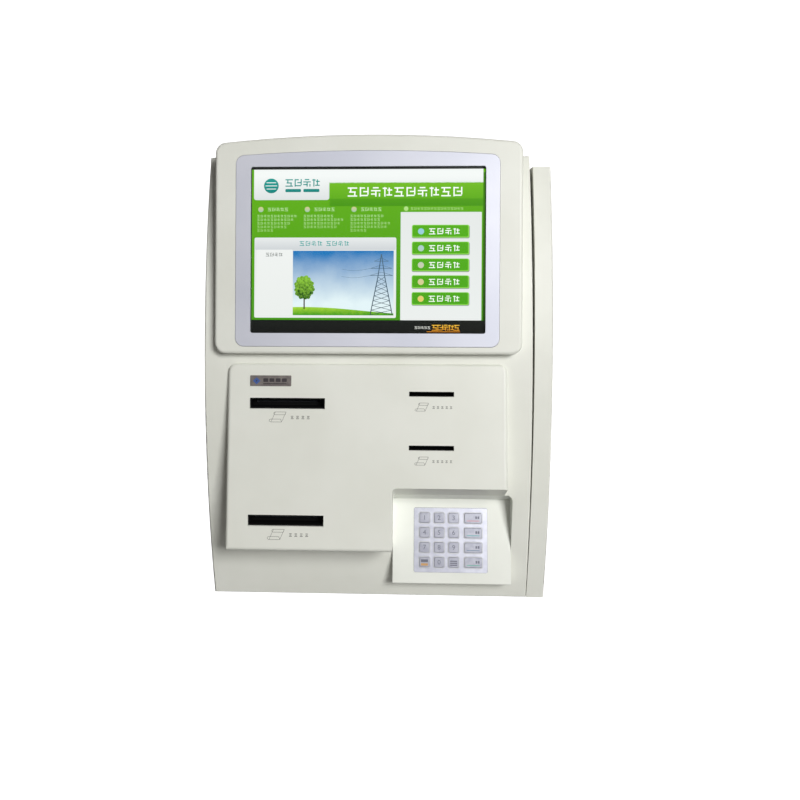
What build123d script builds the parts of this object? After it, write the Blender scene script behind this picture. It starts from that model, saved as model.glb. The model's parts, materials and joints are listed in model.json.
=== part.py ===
from build123d import *
import math
import os

# Wall-hung payment terminal: a shallow cabinet on the wall, a bowed door hinged on its left,
# a fixed bowed cheek on its right.  Millimetres.  X runs to the right seen from the front,
# Y runs into the wall, Z is up.  The origin is the centre of the four wall bolts on the back.
# Heights are counted from the bottom edge, and z_at turns them into Z.

# ---- overall ----
WIDTH = 448.0
CABINET_HEIGHT = 572.5
DOOR_RISE = 14.5
CABINET_DEPTH = 88.0
CHEEK_WIDTH = 23.0
SHEET = 1.5
FLANGE = 12.0

# ---- bowed front, an arc in side view ----
BOW_RADIUS = 1000.0
BOW_APEX_HEIGHT = 218.0
BOW_APEX_DEPTH = 179.0

# ---- wall bolts ----
BOLT_SPACING_X = 300.0
BOLT_SPACING_Z = 400.0
BOLT_CENTRE_HEIGHT = 300.0
BOLT_HOLE_RADIUS = 4.5
RAIL_THICKNESS = 3.0
RAIL_HEIGHT = 30.0
RAIL_OVERHANG = 20.0

# ---- door ----
DOOR_WALL = 2.0
DOOR_LIP = 14.0
DOOR_BACK_GAP = 2.5
DOOR_EDGE_RADIUS = 2.0
SEAM_TOP = 4.0
SEAM_BOTTOM = 0.4
SEAL_THICKNESS = 2.0
WINDOW_MARGIN = 13.0
WINDOW_FOOT = 6.0

# ---- hinges on the left side ----
HINGE_OFFSET = 4.5
HINGE_LEAF = 2.5
HINGE_LEAF_WIDTH = 30.0
HINGE_LENGTH = 50.0
HINGE_HEIGHTS = {"lower": 110.0, "upper": 440.0}
KNUCKLE_RADIUS = 3.8
KNUCKLE_GAP = 0.2
KNUCKLE_RELIEF = 0.5
HINGE_PIN_RADIUS = 1.5
RUNNING_CLEARANCE = 0.05
SCREW_HEAD_RADIUS = 3.2
SCREW_HEAD_HEIGHT = 1.6
SCREW_RADIUS = 1.8

# ---- screen, leaning back ----
SCREEN_LEAN = 7.9
SURROUND_LEFT = -207.0
SURROUND_RIGHT = 183.0
SURROUND_LOW_HEIGHT = 334.7
SURROUND_FRONT_Y = -189.0
SURROUND_CORNER_RISE = 267.5
SURROUND_CROWN_RISE = 278.0
SURROUND_RADIUS = 14.0
SURROUND_WALL = 3.0
SURROUND_EDGE_RADIUS = 4.0
SURROUND_BACK_GAP = 1.0
TRIM_LEFT = -180.2
TRIM_RIGHT = 154.0
TRIM_LOW = 8.8
TRIM_CORNER = 251.0
TRIM_CROWN = 257.0
TRIM_RADIUS = 11.0
TRIM_THICKNESS = 2.5
TRIM_PROUD = 0.6
TRIM_LEDGE = 6.0
OPENING_LEFT = -161.0
OPENING_RIGHT = 136.5
OPENING_LOW = 26.0
OPENING_TALL = 211.0
OPENING_RADIUS = 3.0
GLASS_THICKNESS = 3.0
GLASS_OVERLAP = 5.0
DISPLAY_THICKNESS = 14.0
DISPLAY_OVERLAP = 12.0
CLAMP_THICKNESS = 2.0
CLAMP_FRAME = 22.0
CLAMP_BORDER = 3.0
STUD_RADIUS = 3.5

# ---- lower panel, leaning back ----
PANEL_LEAN = 11.5
PANEL_LEFT = -191.5
PANEL_RIGHT = 166.0
PANEL_LOW_HEIGHT = 88.0
PANEL_TOP_HEIGHT = 321.0
PANEL_FRONT_Y = -226.5
PANEL_WALL = 2.5
PANEL_RADIUS = 11.0
PANEL_EDGE_RADIUS = 4.5

# ---- receipt slots and their printers ----
SLOT_CENTRE_X = -114.3
SLOT_WIDTH = 96.5
SLOT_TALL = 13.6
INVOICE_SLOT_HEIGHT = 270.6
GUIDE_CLEARANCE = 0.2
GUIDE_WALL = 1.5
GUIDE_LENGTH = 16.0
PRINTER_OVERHANG = 6.0
HEAD_DEPTH = 22.0
BUCKET_WALL = 2.0
PAPER_GAP = 2.4
ROLL_RADIUS = 20.0
ROLL_WIDTH = 80.0
ROLL_CORE_RADIUS = 6.0
ROLL_GAP = 3.0
ROLL_FLOOR_GAP = 1.0
ROLL_LID_GAP = 0.8
PRINTER_RIM = 8.0
PRINTER_FOOT_GAP = 2.2
LID_THICKNESS = 2.0
LID_HINGE_RADIUS = 2.5
LID_PIN_RADIUS = 1.2
LID_EAR = 6.0
LID_RELIEF = 0.5
LID_GAP = 0.4
MOUNT_FLANGE = 7.0
MOUNT_FLANGE_THICKNESS = 1.5

# ---- card slots and their readers ----
CARD_CENTRE_X = 69.8
CARD_WIDTH = 57.0
CARD_TALL = 6.2
CARD_HEIGHTS = {"upper": 283.2, "lower": 216.4}
THROAT_WALL = 0.7
THROAT_DEPTH = 50.0
READER_WIDTH = 76.0
READER_TALL = 26.0
READER_DEPTH = 62.0
READER_SETBACK = 8.0

# ---- badge ----
BADGE_CENTRE_X = -136.0
BADGE_HEIGHT = 298.8
BADGE_WIDTH = 53.0
BADGE_TALL = 13.8
BADGE_THICKNESS = 0.8

# ---- keypad, leaning back in a recess ----
KEYPAD_LEAN = 15.4
KEYPAD_LEFT = 20.7
KEYPAD_RIGHT = 176.7
KEYPAD_LOW_HEIGHT = 27.5
KEYPAD_FRONT_Y = -181.0
KEYPAD_TOP_HEIGHT = 135.0
KEYPAD_WALL = 2.5
KEYPAD_GAP = 0.3
KEYPAD_EDGE_RADIUS = 1.5
RECESS_LIP_HEIGHT = 166.5
RECESS_RADIUS = 9.0
RECESS_INNER_RADIUS = 5.0
PLATE_CENTRE_X = 97.5
PLATE_CENTRE_RISE = 57.5
PLATE_SIDE_MARGIN = 4.2
PLATE_END_MARGIN = 3.4
PLATE_THICKNESS = 3.0
PLATE_PROUD = 0.8
KEY_PITCH = 19.3
KEY_WEB = 6.1
WIDE_KEY_EXTRA = 9.8
WIDE_KEY_GAP = 1.6
KEY_RADIUS = 2.2
KEY_CLEARANCE = 0.25
KEY_PROUD = 1.6
KEY_TRAVEL = 1.5
KEY_FLANGE = 1.0
KEY_FLANGE_THICKNESS = 1.0
COLLAR_WIDTH = 1.3
COLLAR_TALL = 0.7
BASE_DEPTH = 12.0
BASE_WALL = 2.0
BASE_FLANGE = 4.5

# ---- lock in the cheek ----
LOCK_HEIGHT = 250.0
LOCK_RADIUS = 9.5
LOCK_FLANGE_RADIUS = 11.5
LOCK_FLANGE_THICKNESS = 2.0
LOCK_PLUG_RADIUS = 6.0
CAM_LENGTH = 24.0
CAM_WIDTH = 12.0
CAM_THICKNESS = 2.5
CAM_STANDOFF = 7.0
CAM_DOOR_GAP = 4.5
CAM_HOOK_GAP = 3.0
KEYWAY_WIDTH = 1.6
KEYWAY_TALL = 8.0
STRIKE_THICKNESS = 2.0
STRIKE_SIDE_GAP = 4.0
STRIKE_FOOT = 14.0

# ---- inside the cabinet ----
COMPUTER_SPAN_X = (-190.0, -20.0)
COMPUTER_SPAN_HEIGHT = (330.0, 460.0)
COMPUTER_DEPTH = 38.0
FIN_COUNT = 9
FIN_TALL = 6.0
FIN_THICKNESS = 2.0
FIN_MARGIN = 10.0
SUPPLY_SPAN_X = (-190.0, -85.0)
SUPPLY_SPAN_HEIGHT = (140.0, 220.0)
SUPPLY_DEPTH = 40.0
SUPPLY_SLOTS = 8
SUPPLY_SLOT_PITCH = 11.0
SUPPLY_SLOT_WIDTH = 4.0
FAN_SIZE = 60.0
FAN_DEPTH = 15.0
FAN_BORE_RADIUS = 28.0
FAN_HUB_RADIUS = 10.0
FAN_CENTRE_HEIGHT = 535.0
FAN_BLADES = 7
FAN_BLADE_THICKNESS = 1.5
FAN_BLADE_WIDTH = 11.0
FAN_BLADE_PITCH = 35.0
FAN_TIP_GAP = 1.5
FAN_SHAFT_RADIUS = 2.0
FAN_STRUT_WIDTH = 3.0
VENT_WIDTH = 4.0
VENT_COUNT = 6
VENT_MARGIN = 18.0

# ---- power inlet with its rocker switch, in the cabinet floor ----
INLET_CENTRE_X = 120.0
INLET_FLANGE = (58.0, 32.0)
INLET_FLANGE_THICKNESS = 2.0
INLET_BODY = (52.0, 27.0)
INLET_BODY_DEPTH = 22.0
SOCKET_OFFSET = -11.0
SOCKET_SIZE = (25.0, 18.0)
SOCKET_DEPTH = 16.0
ROCKER_OFFSET = 17.0
ROCKER_WELL = (13.0, 21.0)
ROCKER_WELL_DEPTH = 11.0
ROCKER_CLEARANCE = 0.6
ROCKER_PIVOT_DEPTH = 3.0
ROCKER_REST_TILT = 7.0

LEFT = -WIDTH / 2
RIGHT = WIDTH / 2
DOOR_HEIGHT = CABINET_HEIGHT + DOOR_RISE
CABINET_MIDDLE_Y = -CABINET_DEPTH / 2
CHEEK_INNER = RIGHT - CHEEK_WIDTH
DOOR_BACK_Y = -(CABINET_DEPTH + DOOR_BACK_GAP)
DOOR_RIGHT_TOP = CHEEK_INNER - SEAM_TOP
DOOR_RIGHT_LOW = CHEEK_INNER - SEAM_BOTTOM
HINGE_X = LEFT - HINGE_OFFSET
HINGE_Y = -(CABINET_DEPTH + DOOR_BACK_GAP / 2)
LOCK_Y = DOOR_BACK_Y + CAM_LENGTH + CAM_DOOR_GAP
BUCKET_DEPTH = 2 * (ROLL_RADIUS + ROLL_GAP + BUCKET_WALL)
ROLL_SPACE = 2 * ROLL_RADIUS + ROLL_LID_GAP + ROLL_FLOOR_GAP
PRINTER_DROP = ROLL_SPACE + BUCKET_WALL - SLOT_TALL / 2 - PRINTER_RIM
RECEIPT_SLOT_HEIGHT = PANEL_LOW_HEIGHT + WINDOW_FOOT + PRINTER_FOOT_GAP + PRINTER_DROP
SLOT_HEIGHTS = {"invoice": INVOICE_SLOT_HEIGHT, "receipt": RECEIPT_SLOT_HEIGHT}
KEY_SIZE = KEY_PITCH - KEY_WEB
WIDE_KEY_SIZE = KEY_SIZE + WIDE_KEY_EXTRA
PLATE_WIDTH = 4 * KEY_PITCH + WIDE_KEY_EXTRA + WIDE_KEY_GAP + 2 * PLATE_SIDE_MARGIN
PLATE_TALL = 4 * KEY_PITCH + 2 * PLATE_END_MARGIN
KEY_FIRST_COLUMN = -PLATE_WIDTH / 2 + PLATE_SIDE_MARGIN + KEY_PITCH / 2
WIDE_KEY_COLUMN = KEY_FIRST_COLUMN + 3 * KEY_PITCH + WIDE_KEY_EXTRA / 2 + WIDE_KEY_GAP
FAR = 400.0


def z_at(height):
    """Z of a height above the bottom edge."""
    return height - BOLT_CENTRE_HEIGHT


def bow_y(height, inset=0.0):
    """Y of the bowed front at a height, or of the surface that lies inset behind it."""
    radius = BOW_RADIUS - inset
    rise = height - BOW_APEX_HEIGHT
    return BOW_RADIUS - BOW_APEX_DEPTH - math.sqrt(radius**2 - rise**2)


def block(x_span, y_span, height_span):
    """Box between limits along X and Y and between two heights."""
    spans = (x_span, y_span, height_span)
    size = [high - low for low, high in spans]
    centre = [(high + low) / 2 for low, high in spans]
    return Pos(centre[0], centre[1], z_at(centre[2])) * Box(*size)


def side_prism(points, x_span):
    """Prism along X whose outline is a closed loop of (y, height) corners."""
    corners = [(y, z_at(height)) for y, height in points]
    face = make_face(Plane.YZ * Polyline(*corners, close=True))
    return Pos(x_span[0], 0, 0) * extrude(face, x_span[1] - x_span[0], dir=(1, 0, 0))


def bowed_block(x_span, height_span, back_y, inset=0.0):
    """Prism along X from back_y to the bowed front, or to the surface inset behind it."""
    low, high = height_span
    stations = [low, (low + high) / 2, high]
    front = [(bow_y(height, inset), z_at(height)) for height in stations]
    corners = [front[2], (back_y, z_at(high)), (back_y, z_at(low)), front[0]]
    outline = ThreePointArc(*front) + Polyline(*corners)
    face = make_face(Plane.YZ * outline)
    return Pos(x_span[0], 0, 0) * extrude(face, x_span[1] - x_span[0], dir=(1, 0, 0))


def leaning_plane(centre_x, front_y, low_height, lean):
    """Plane of a face that leans back: x to the right, y up the face, z out of it."""
    angle = math.radians(lean)
    normal = (0, -math.cos(angle), math.sin(angle))
    return Plane(origin=(centre_x, front_y, z_at(low_height)), x_dir=(1, 0, 0), z_dir=normal)


def face_y(plane, height):
    """Y of a leaning face at a height."""
    lean = plane.z_dir
    return plane.origin.Y + (z_at(height) - plane.origin.Z) * lean.Z / -lean.Y


def along_x(radius, x_span, y, height):
    """Cylinder along X."""
    length = x_span[1] - x_span[0]
    centre = (x_span[0] + x_span[1]) / 2
    return Pos(centre, y, z_at(height)) * Rot(0, 90, 0) * Cylinder(radius, length)


def rounded_slab(width, tall, radius, z_span):
    """Slab centred on its plane, with rounded corners, between two depths."""
    sketch = RectangleRounded(width, tall, radius)
    return Pos(0, 0, z_span[0]) * extrude(sketch, z_span[1] - z_span[0])


def crowned_slab(x_span, rises, radius, z_span, offset_by=0.0):
    """Slab with a flat foot and an arched top: rises are the foot, the corners and the crown."""
    foot, corner, crown = rises
    left = x_span[0] + offset_by
    right = x_span[1] - offset_by
    outline = Polyline((left, corner - offset_by), (left, foot + offset_by),
                       (right, foot + offset_by), (right, corner - offset_by))
    arch = ThreePointArc((right, corner - offset_by), ((left + right) / 2, crown - offset_by),
                         (left, corner - offset_by))
    sketch = make_face(outline + arch)
    sketch = fillet(sketch.vertices(), max(radius - offset_by, 1.0))
    return Pos(0, 0, z_span[0]) * extrude(sketch, z_span[1] - z_span[0], dir=(0, 0, 1))


SCREEN_PLANE = leaning_plane(0, SURROUND_FRONT_Y, SURROUND_LOW_HEIGHT, SCREEN_LEAN)
PANEL_PLANE = leaning_plane(0, PANEL_FRONT_Y, PANEL_LOW_HEIGHT, PANEL_LEAN)
KEYPAD_PLANE = leaning_plane(0, KEYPAD_FRONT_Y, KEYPAD_LOW_HEIGHT, KEYPAD_LEAN)
RECESS_BACK_Y = face_y(KEYPAD_PLANE, KEYPAD_TOP_HEIGHT)
RECESS_LIP_Y = face_y(PANEL_PLANE, RECESS_LIP_HEIGHT)
SOFFIT_SLOPE = (RECESS_LIP_HEIGHT - KEYPAD_TOP_HEIGHT) / (RECESS_BACK_Y - RECESS_LIP_Y)


def soffit_height(y):
    """Height of the underside of the keypad recess's sloping roof."""
    return RECESS_LIP_HEIGHT - SOFFIT_SLOPE * (y - RECESS_LIP_Y)


def soffit_meets_door():
    """Y where the recess's roof crosses the outside of the door's skin."""
    y = RECESS_LIP_Y
    for _ in range(12):
        y = bow_y(soffit_height(y))
    return y


def door_envelope():
    """Everything behind the outside of the door's skin, for trimming what stands on it."""
    return bowed_block((-FAR, FAR), (-20, DOOR_HEIGHT), 0)


# ================= cabinet =================

def cabinet_shell():
    body = block((LEFT, CHEEK_INNER), (-CABINET_DEPTH, 0), (0, CABINET_HEIGHT))
    body -= block((LEFT + SHEET, CHEEK_INNER - SHEET), (-CABINET_DEPTH + SHEET, -SHEET),
                  (SHEET, CABINET_HEIGHT - SHEET))
    body -= block((LEFT + FLANGE, CHEEK_INNER - SHEET), (-CABINET_DEPTH - 1, -CABINET_DEPTH + 2 * SHEET),
                  (FLANGE, CABINET_HEIGHT - FLANGE))
    for x, height in bolt_centres():
        body -= Pos(x, 0, z_at(height)) * Rot(90, 0, 0) * Cylinder(BOLT_HOLE_RADIUS, 20)
    body -= along_x(LOCK_RADIUS + RUNNING_CLEARANCE, (CHEEK_INNER - 5, CHEEK_INNER + 5),
                    LOCK_Y, LOCK_HEIGHT)
    for index in range(VENT_COUNT):
        vent_y = CABINET_MIDDLE_Y + (index - (VENT_COUNT - 1) / 2) * 2 * VENT_WIDTH
        body -= block((LEFT - 1, LEFT + 5), (vent_y - VENT_WIDTH / 2, vent_y + VENT_WIDTH / 2),
                      (FAN_CENTRE_HEIGHT - FAN_BORE_RADIUS + 4, FAN_CENTRE_HEIGHT + FAN_BORE_RADIUS - 4))
        vent_x = (index - (VENT_COUNT - 1) / 2) * 4 * VENT_WIDTH
        body -= block((vent_x - VENT_WIDTH / 2, vent_x + VENT_WIDTH / 2),
                      (-CABINET_DEPTH + VENT_MARGIN, -VENT_MARGIN), (-5, 5))
    half_width = INLET_BODY[0] / 2 + GUIDE_CLEARANCE
    half_tall = INLET_BODY[1] / 2 + GUIDE_CLEARANCE
    body -= block((INLET_CENTRE_X - half_width, INLET_CENTRE_X + half_width),
                  (CABINET_MIDDLE_Y - half_tall, CABINET_MIDDLE_Y + half_tall), (-5, 5))
    return body - hinge_screw_holes("frame")


def bolt_centres():
    """X and height of the four wall bolts."""
    rows = (BOLT_CENTRE_HEIGHT - BOLT_SPACING_Z / 2, BOLT_CENTRE_HEIGHT + BOLT_SPACING_Z / 2)
    return [(x, row) for row in rows for x in (-BOLT_SPACING_X / 2, BOLT_SPACING_X / 2)]


def wall_rail(row):
    """Stiffening strip inside the back, behind one row of wall bolts."""
    half = BOLT_SPACING_X / 2 + RAIL_OVERHANG
    height = BOLT_CENTRE_HEIGHT + row * BOLT_SPACING_Z / 2
    rail = block((-half, half), (-SHEET - RAIL_THICKNESS, -SHEET),
                 (height - RAIL_HEIGHT / 2, height + RAIL_HEIGHT / 2))
    for x in (-BOLT_SPACING_X / 2, BOLT_SPACING_X / 2):
        rail -= Pos(x, 0, z_at(height)) * Rot(90, 0, 0) * Cylinder(BOLT_HOLE_RADIUS, 20)
    return rail


def side_cheek():
    outer = bowed_block((CHEEK_INNER, RIGHT), (0, CABINET_HEIGHT), 0)
    front_edges = outer.edges().filter_by(GeomType.CIRCLE)
    outer = fillet(front_edges.sort_by(Axis.X)[-1:], DOOR_EDGE_RADIUS)
    inner = bowed_block((CHEEK_INNER + SHEET, RIGHT - SHEET), (SHEET, CABINET_HEIGHT - SHEET), 1, SHEET)
    bore = along_x(LOCK_RADIUS + RUNNING_CLEARANCE, (CHEEK_INNER - 5, RIGHT + 5), LOCK_Y, LOCK_HEIGHT)
    return outer - inner - bore


def door_seal():
    """Foam strip on the cabinet's front flange: left, top and bottom."""
    front = (-CABINET_DEPTH - SEAL_THICKNESS, -CABINET_DEPTH)
    seal = block((LEFT + SHEET, CHEEK_INNER - 5), front, (SHEET, CABINET_HEIGHT - SHEET))
    return seal - block((LEFT + FLANGE, RIGHT), (-FAR, 0), (FLANGE, CABINET_HEIGHT - FLANGE))


def control_computer():
    back = (-SHEET - COMPUTER_DEPTH, -SHEET)
    case = block(COMPUTER_SPAN_X, back, COMPUTER_SPAN_HEIGHT)
    case = fillet(case.edges().filter_by(Axis.Y), 3)
    low, high = COMPUTER_SPAN_HEIGHT
    pitch = (high - low - 2 * FIN_MARGIN) / (FIN_COUNT - 1)
    for index in range(FIN_COUNT):
        height = low + FIN_MARGIN + index * pitch
        case += block((COMPUTER_SPAN_X[0] + FIN_MARGIN, COMPUTER_SPAN_X[1] - FIN_MARGIN),
                      (back[0] - FIN_TALL, back[0] + 1),
                      (height - FIN_THICKNESS / 2, height + FIN_THICKNESS / 2))
    return case


def power_supply():
    case = block(SUPPLY_SPAN_X, (-SHEET - SUPPLY_DEPTH, -SHEET), SUPPLY_SPAN_HEIGHT)
    case = chamfer(case.edges().filter_by(Axis.Z), 2)
    low, high = SUPPLY_SPAN_HEIGHT
    middle = sum(SUPPLY_SPAN_X) / 2
    for index in range(SUPPLY_SLOTS):
        x = middle + (index - (SUPPLY_SLOTS - 1) / 2) * SUPPLY_SLOT_PITCH
        case -= block((x - SUPPLY_SLOT_WIDTH / 2, x + SUPPLY_SLOT_WIDTH / 2), (-FAR, -SUPPLY_DEPTH + 1),
                      (low + 3 * SUPPLY_SLOT_WIDTH, high - 3 * SUPPLY_SLOT_WIDTH))
    return case


def fan_frame():
    back = LEFT + SHEET
    half = FAN_SIZE / 2
    frame = block((back, back + FAN_DEPTH), (CABINET_MIDDLE_Y - half, CABINET_MIDDLE_Y + half),
                  (FAN_CENTRE_HEIGHT - half, FAN_CENTRE_HEIGHT + half))
    frame = fillet(frame.edges().filter_by(Axis.X), 4)
    frame -= along_x(FAN_BORE_RADIUS, (back - 1, back + FAN_DEPTH + 1), CABINET_MIDDLE_Y, FAN_CENTRE_HEIGHT)
    for angle in (45, 135):
        strut = Rot(angle, 0, 0) * Box(2, 2 * FAN_BORE_RADIUS + 2, FAN_STRUT_WIDTH)
        frame += Pos(back + FAN_DEPTH - 1, CABINET_MIDDLE_Y, z_at(FAN_CENTRE_HEIGHT)) * strut
    frame += along_x(FAN_HUB_RADIUS, (back + FAN_DEPTH - 2, back + FAN_DEPTH),
                     CABINET_MIDDLE_Y, FAN_CENTRE_HEIGHT)
    frame += along_x(FAN_SHAFT_RADIUS, (back + 3, back + FAN_DEPTH), CABINET_MIDDLE_Y, FAN_CENTRE_HEIGHT)
    return frame


def fan_rotor():
    back = LEFT + SHEET
    span = (back + 2, back + FAN_DEPTH - 3)
    middle = (span[0] + span[1]) / 2
    rotor = along_x(FAN_HUB_RADIUS, span, CABINET_MIDDLE_Y, FAN_CENTRE_HEIGHT)
    reach = FAN_BORE_RADIUS - FAN_TIP_GAP
    plank = Box(FAN_BLADE_THICKNESS, reach - FAN_HUB_RADIUS + 2, FAN_BLADE_WIDTH)
    plank = Rot(0, FAN_BLADE_PITCH, 0) * Pos(0, (FAN_HUB_RADIUS + reach) / 2 - 1, 0) * plank
    for index in range(FAN_BLADES):
        blade = Rot(index * 360 / FAN_BLADES, 0, 0) * plank
        rotor += Pos(middle, CABINET_MIDDLE_Y, z_at(FAN_CENTRE_HEIGHT)) * blade
    disc = along_x(reach, span, CABINET_MIDDLE_Y, FAN_CENTRE_HEIGHT)
    bore = along_x(FAN_SHAFT_RADIUS + RUNNING_CLEARANCE, (span[0] - 2, span[1] + 2),
                   CABINET_MIDDLE_Y, FAN_CENTRE_HEIGHT)
    return (rotor & disc) - bore


def power_inlet():
    """Mains inlet and switch housing that drops into the cabinet floor from below."""
    centre = Pos(INLET_CENTRE_X, CABINET_MIDDLE_Y, z_at(0))
    flange = extrude(RectangleRounded(*INLET_FLANGE, 3), -INLET_FLANGE_THICKNESS)
    body = extrude(RectangleRounded(*INLET_BODY, 2), INLET_BODY_DEPTH)
    socket = extrude(RectangleRounded(*SOCKET_SIZE, 3), SOCKET_DEPTH + INLET_FLANGE_THICKNESS)
    well = extrude(Rectangle(*ROCKER_WELL), ROCKER_WELL_DEPTH + INLET_FLANGE_THICKNESS)
    inlet = flange + body
    inlet -= Pos(SOCKET_OFFSET, 0, -INLET_FLANGE_THICKNESS) * socket
    inlet -= Pos(ROCKER_OFFSET, 0, -INLET_FLANGE_THICKNESS) * well
    for x, y in ((-7, -3.5), (0, 0), (7, -3.5)):
        pin = Pos(SOCKET_OFFSET + x, y - 1, SOCKET_DEPTH / 2 + 2) * Box(2, 4, SOCKET_DEPTH - 2)
        inlet += pin
    return centre * inlet


def power_rocker():
    """Rocker in its well, tilted to its off position."""
    width = ROCKER_WELL[0] - 2 * ROCKER_CLEARANCE
    half = ROCKER_WELL[1] / 2 - ROCKER_CLEARANCE - 0.5
    drum = Rot(0, 90, 0) * Cylinder(half * 0.72, width)
    outline = Polyline((-half, -3.4), (0, -1.6), (half, -3.4), (half - 1.2, 1.0), (-half + 1.2, 1.0),
                       close=True)
    cap = Pos(-width / 2, 0, 0) * extrude(make_face(Plane.YZ * outline), width, dir=(1, 0, 0))
    keep = Pos(0, 0, 4.4) * Box(width, 3 * half, 12)
    rocker = cap + (drum & keep)
    pivot_z = z_at(0) + ROCKER_PIVOT_DEPTH - INLET_FLANGE_THICKNESS
    place = Pos(INLET_CENTRE_X + ROCKER_OFFSET, CABINET_MIDDLE_Y, pivot_z)
    return place * Rot(-ROCKER_REST_TILT, 0, 0) * rocker


# ================= hinges =================

def hinge_screw_centres(leaf, side):
    """Y and height of the two screws of one hinge leaf."""
    near = 8.0 + HINGE_LEAF_WIDTH / 3
    y = HINGE_Y + near if leaf == "frame" else HINGE_Y - near
    base = HINGE_HEIGHTS[side]
    return [(y, base + HINGE_LENGTH * share) for share in (0.22, 0.78)]


def hinge_screw_holes(leaf):
    holes = Part()
    for side in HINGE_HEIGHTS:
        for y, height in hinge_screw_centres(leaf, side):
            holes += along_x(SCREW_RADIUS, (LEFT - 10, LEFT + 4), y, height)
    return holes


def hinge_leaf(leaf, side):
    """Leaf screwed to the side wall, with the half of the knuckle that belongs to it."""
    base = HINGE_HEIGHTS[side]
    top = base + HINGE_LENGTH
    lower_end = (base + top - KNUCKLE_GAP) / 2
    upper_end = (base + top + KNUCKLE_GAP) / 2
    if leaf == "frame":
        own_half = (base, lower_end)
        other_half = (lower_end, top + 1)
        span = (-CABINET_DEPTH, -CABINET_DEPTH + HINGE_LEAF_WIDTH)
        bore = HINGE_PIN_RADIUS
    else:
        own_half = (upper_end, top)
        other_half = (base - 1, upper_end)
        span = (DOOR_BACK_Y - HINGE_LEAF_WIDTH, DOOR_BACK_Y)
        bore = HINGE_PIN_RADIUS + RUNNING_CLEARANCE
    plate = block((LEFT - HINGE_LEAF, LEFT), span, (base, top))
    plate -= upright(KNUCKLE_RADIUS + KNUCKLE_RELIEF, other_half)
    plate += upright(KNUCKLE_RADIUS, own_half)
    plate -= upright(bore, (base - 1, top + 1))
    return plate - hinge_screw_holes(leaf)


def upright(radius, height_span):
    """Cylinder on the hinge axis."""
    low, high = height_span
    return Pos(HINGE_X, HINGE_Y, z_at((low + high) / 2)) * Cylinder(radius, high - low)


def hinge_pin(side):
    base = HINGE_HEIGHTS[side]
    pin = upright(HINGE_PIN_RADIUS, (base, base + HINGE_LENGTH))
    return pin + upright(HINGE_PIN_RADIUS + 1.0, (base + HINGE_LENGTH, base + HINGE_LENGTH + 1.5))


def hinge_screws(leaf):
    """The four pan-head screws that hold this body's leaves, as separate solids."""
    screws = []
    wall = SHEET if leaf == "frame" else DOOR_WALL
    for side in HINGE_HEIGHTS:
        for y, height in hinge_screw_centres(leaf, side):
            outside = LEFT - HINGE_LEAF
            head = along_x(SCREW_HEAD_RADIUS, (outside - SCREW_HEAD_HEIGHT, outside), y, height)
            shank = along_x(SCREW_RADIUS, (outside, LEFT + wall + 3), y, height)
            screws.append(head + shank)
    return Compound(screws)


# ================= lock =================

def lock_barrel():
    barrel = along_x(LOCK_RADIUS, (CHEEK_INNER - SHEET - 3, RIGHT), LOCK_Y, LOCK_HEIGHT)
    barrel += along_x(LOCK_FLANGE_RADIUS, (RIGHT, RIGHT + LOCK_FLANGE_THICKNESS), LOCK_Y, LOCK_HEIGHT)
    return barrel - along_x(LOCK_PLUG_RADIUS + RUNNING_CLEARANCE, (CHEEK_INNER - 20, RIGHT + 20),
                            LOCK_Y, LOCK_HEIGHT)


def lock_cam():
    """Key plug with its cam, stored unlocked with the cam pointing straight at the door."""
    inner_end = CHEEK_INNER - SHEET - CAM_STANDOFF
    plug = along_x(LOCK_PLUG_RADIUS, (inner_end, RIGHT + LOCK_FLANGE_THICKNESS - 0.4), LOCK_Y, LOCK_HEIGHT)
    keyway = block((RIGHT - 6, RIGHT + 10), (LOCK_Y - KEYWAY_WIDTH / 2, LOCK_Y + KEYWAY_WIDTH / 2),
                   (LOCK_HEIGHT - KEYWAY_TALL / 2, LOCK_HEIGHT + KEYWAY_TALL / 2))
    cam = block((inner_end - CAM_THICKNESS, inner_end), (LOCK_Y - CAM_LENGTH, LOCK_Y + CAM_WIDTH / 2),
                (LOCK_HEIGHT - CAM_WIDTH / 2, LOCK_HEIGHT + CAM_WIDTH / 2))
    cam = fillet(cam.edges().filter_by(Axis.X), 4)
    return plug - keyway + cam


def door_strike():
    """Hook on the door's rear lip that the cam turns up in front of."""
    cam_x = CHEEK_INNER - SHEET - CAM_STANDOFF - CAM_THICKNESS
    arm_x = (cam_x - STRIKE_SIDE_GAP - STRIKE_THICKNESS, cam_x - STRIKE_SIDE_GAP)
    heights = (LOCK_HEIGHT + CAM_WIDTH / 2 + CAM_HOOK_GAP, LOCK_HEIGHT + CAM_LENGTH + 2 * CAM_HOOK_GAP)
    hook_y = LOCK_Y + CAM_WIDTH / 2 + CAM_HOOK_GAP
    arm = block(arm_x, (DOOR_BACK_Y, hook_y + STRIKE_THICKNESS), heights)
    hook = block((arm_x[0], cam_x + CAM_THICKNESS + 1.5), (hook_y, hook_y + STRIKE_THICKNESS), heights)
    foot = block((arm_x[0] - 1, arm_x[0] + STRIKE_FOOT),
                 (DOOR_BACK_Y, DOOR_BACK_Y + STRIKE_THICKNESS), heights)
    return arm + hook + foot


# ================= door =================

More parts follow.
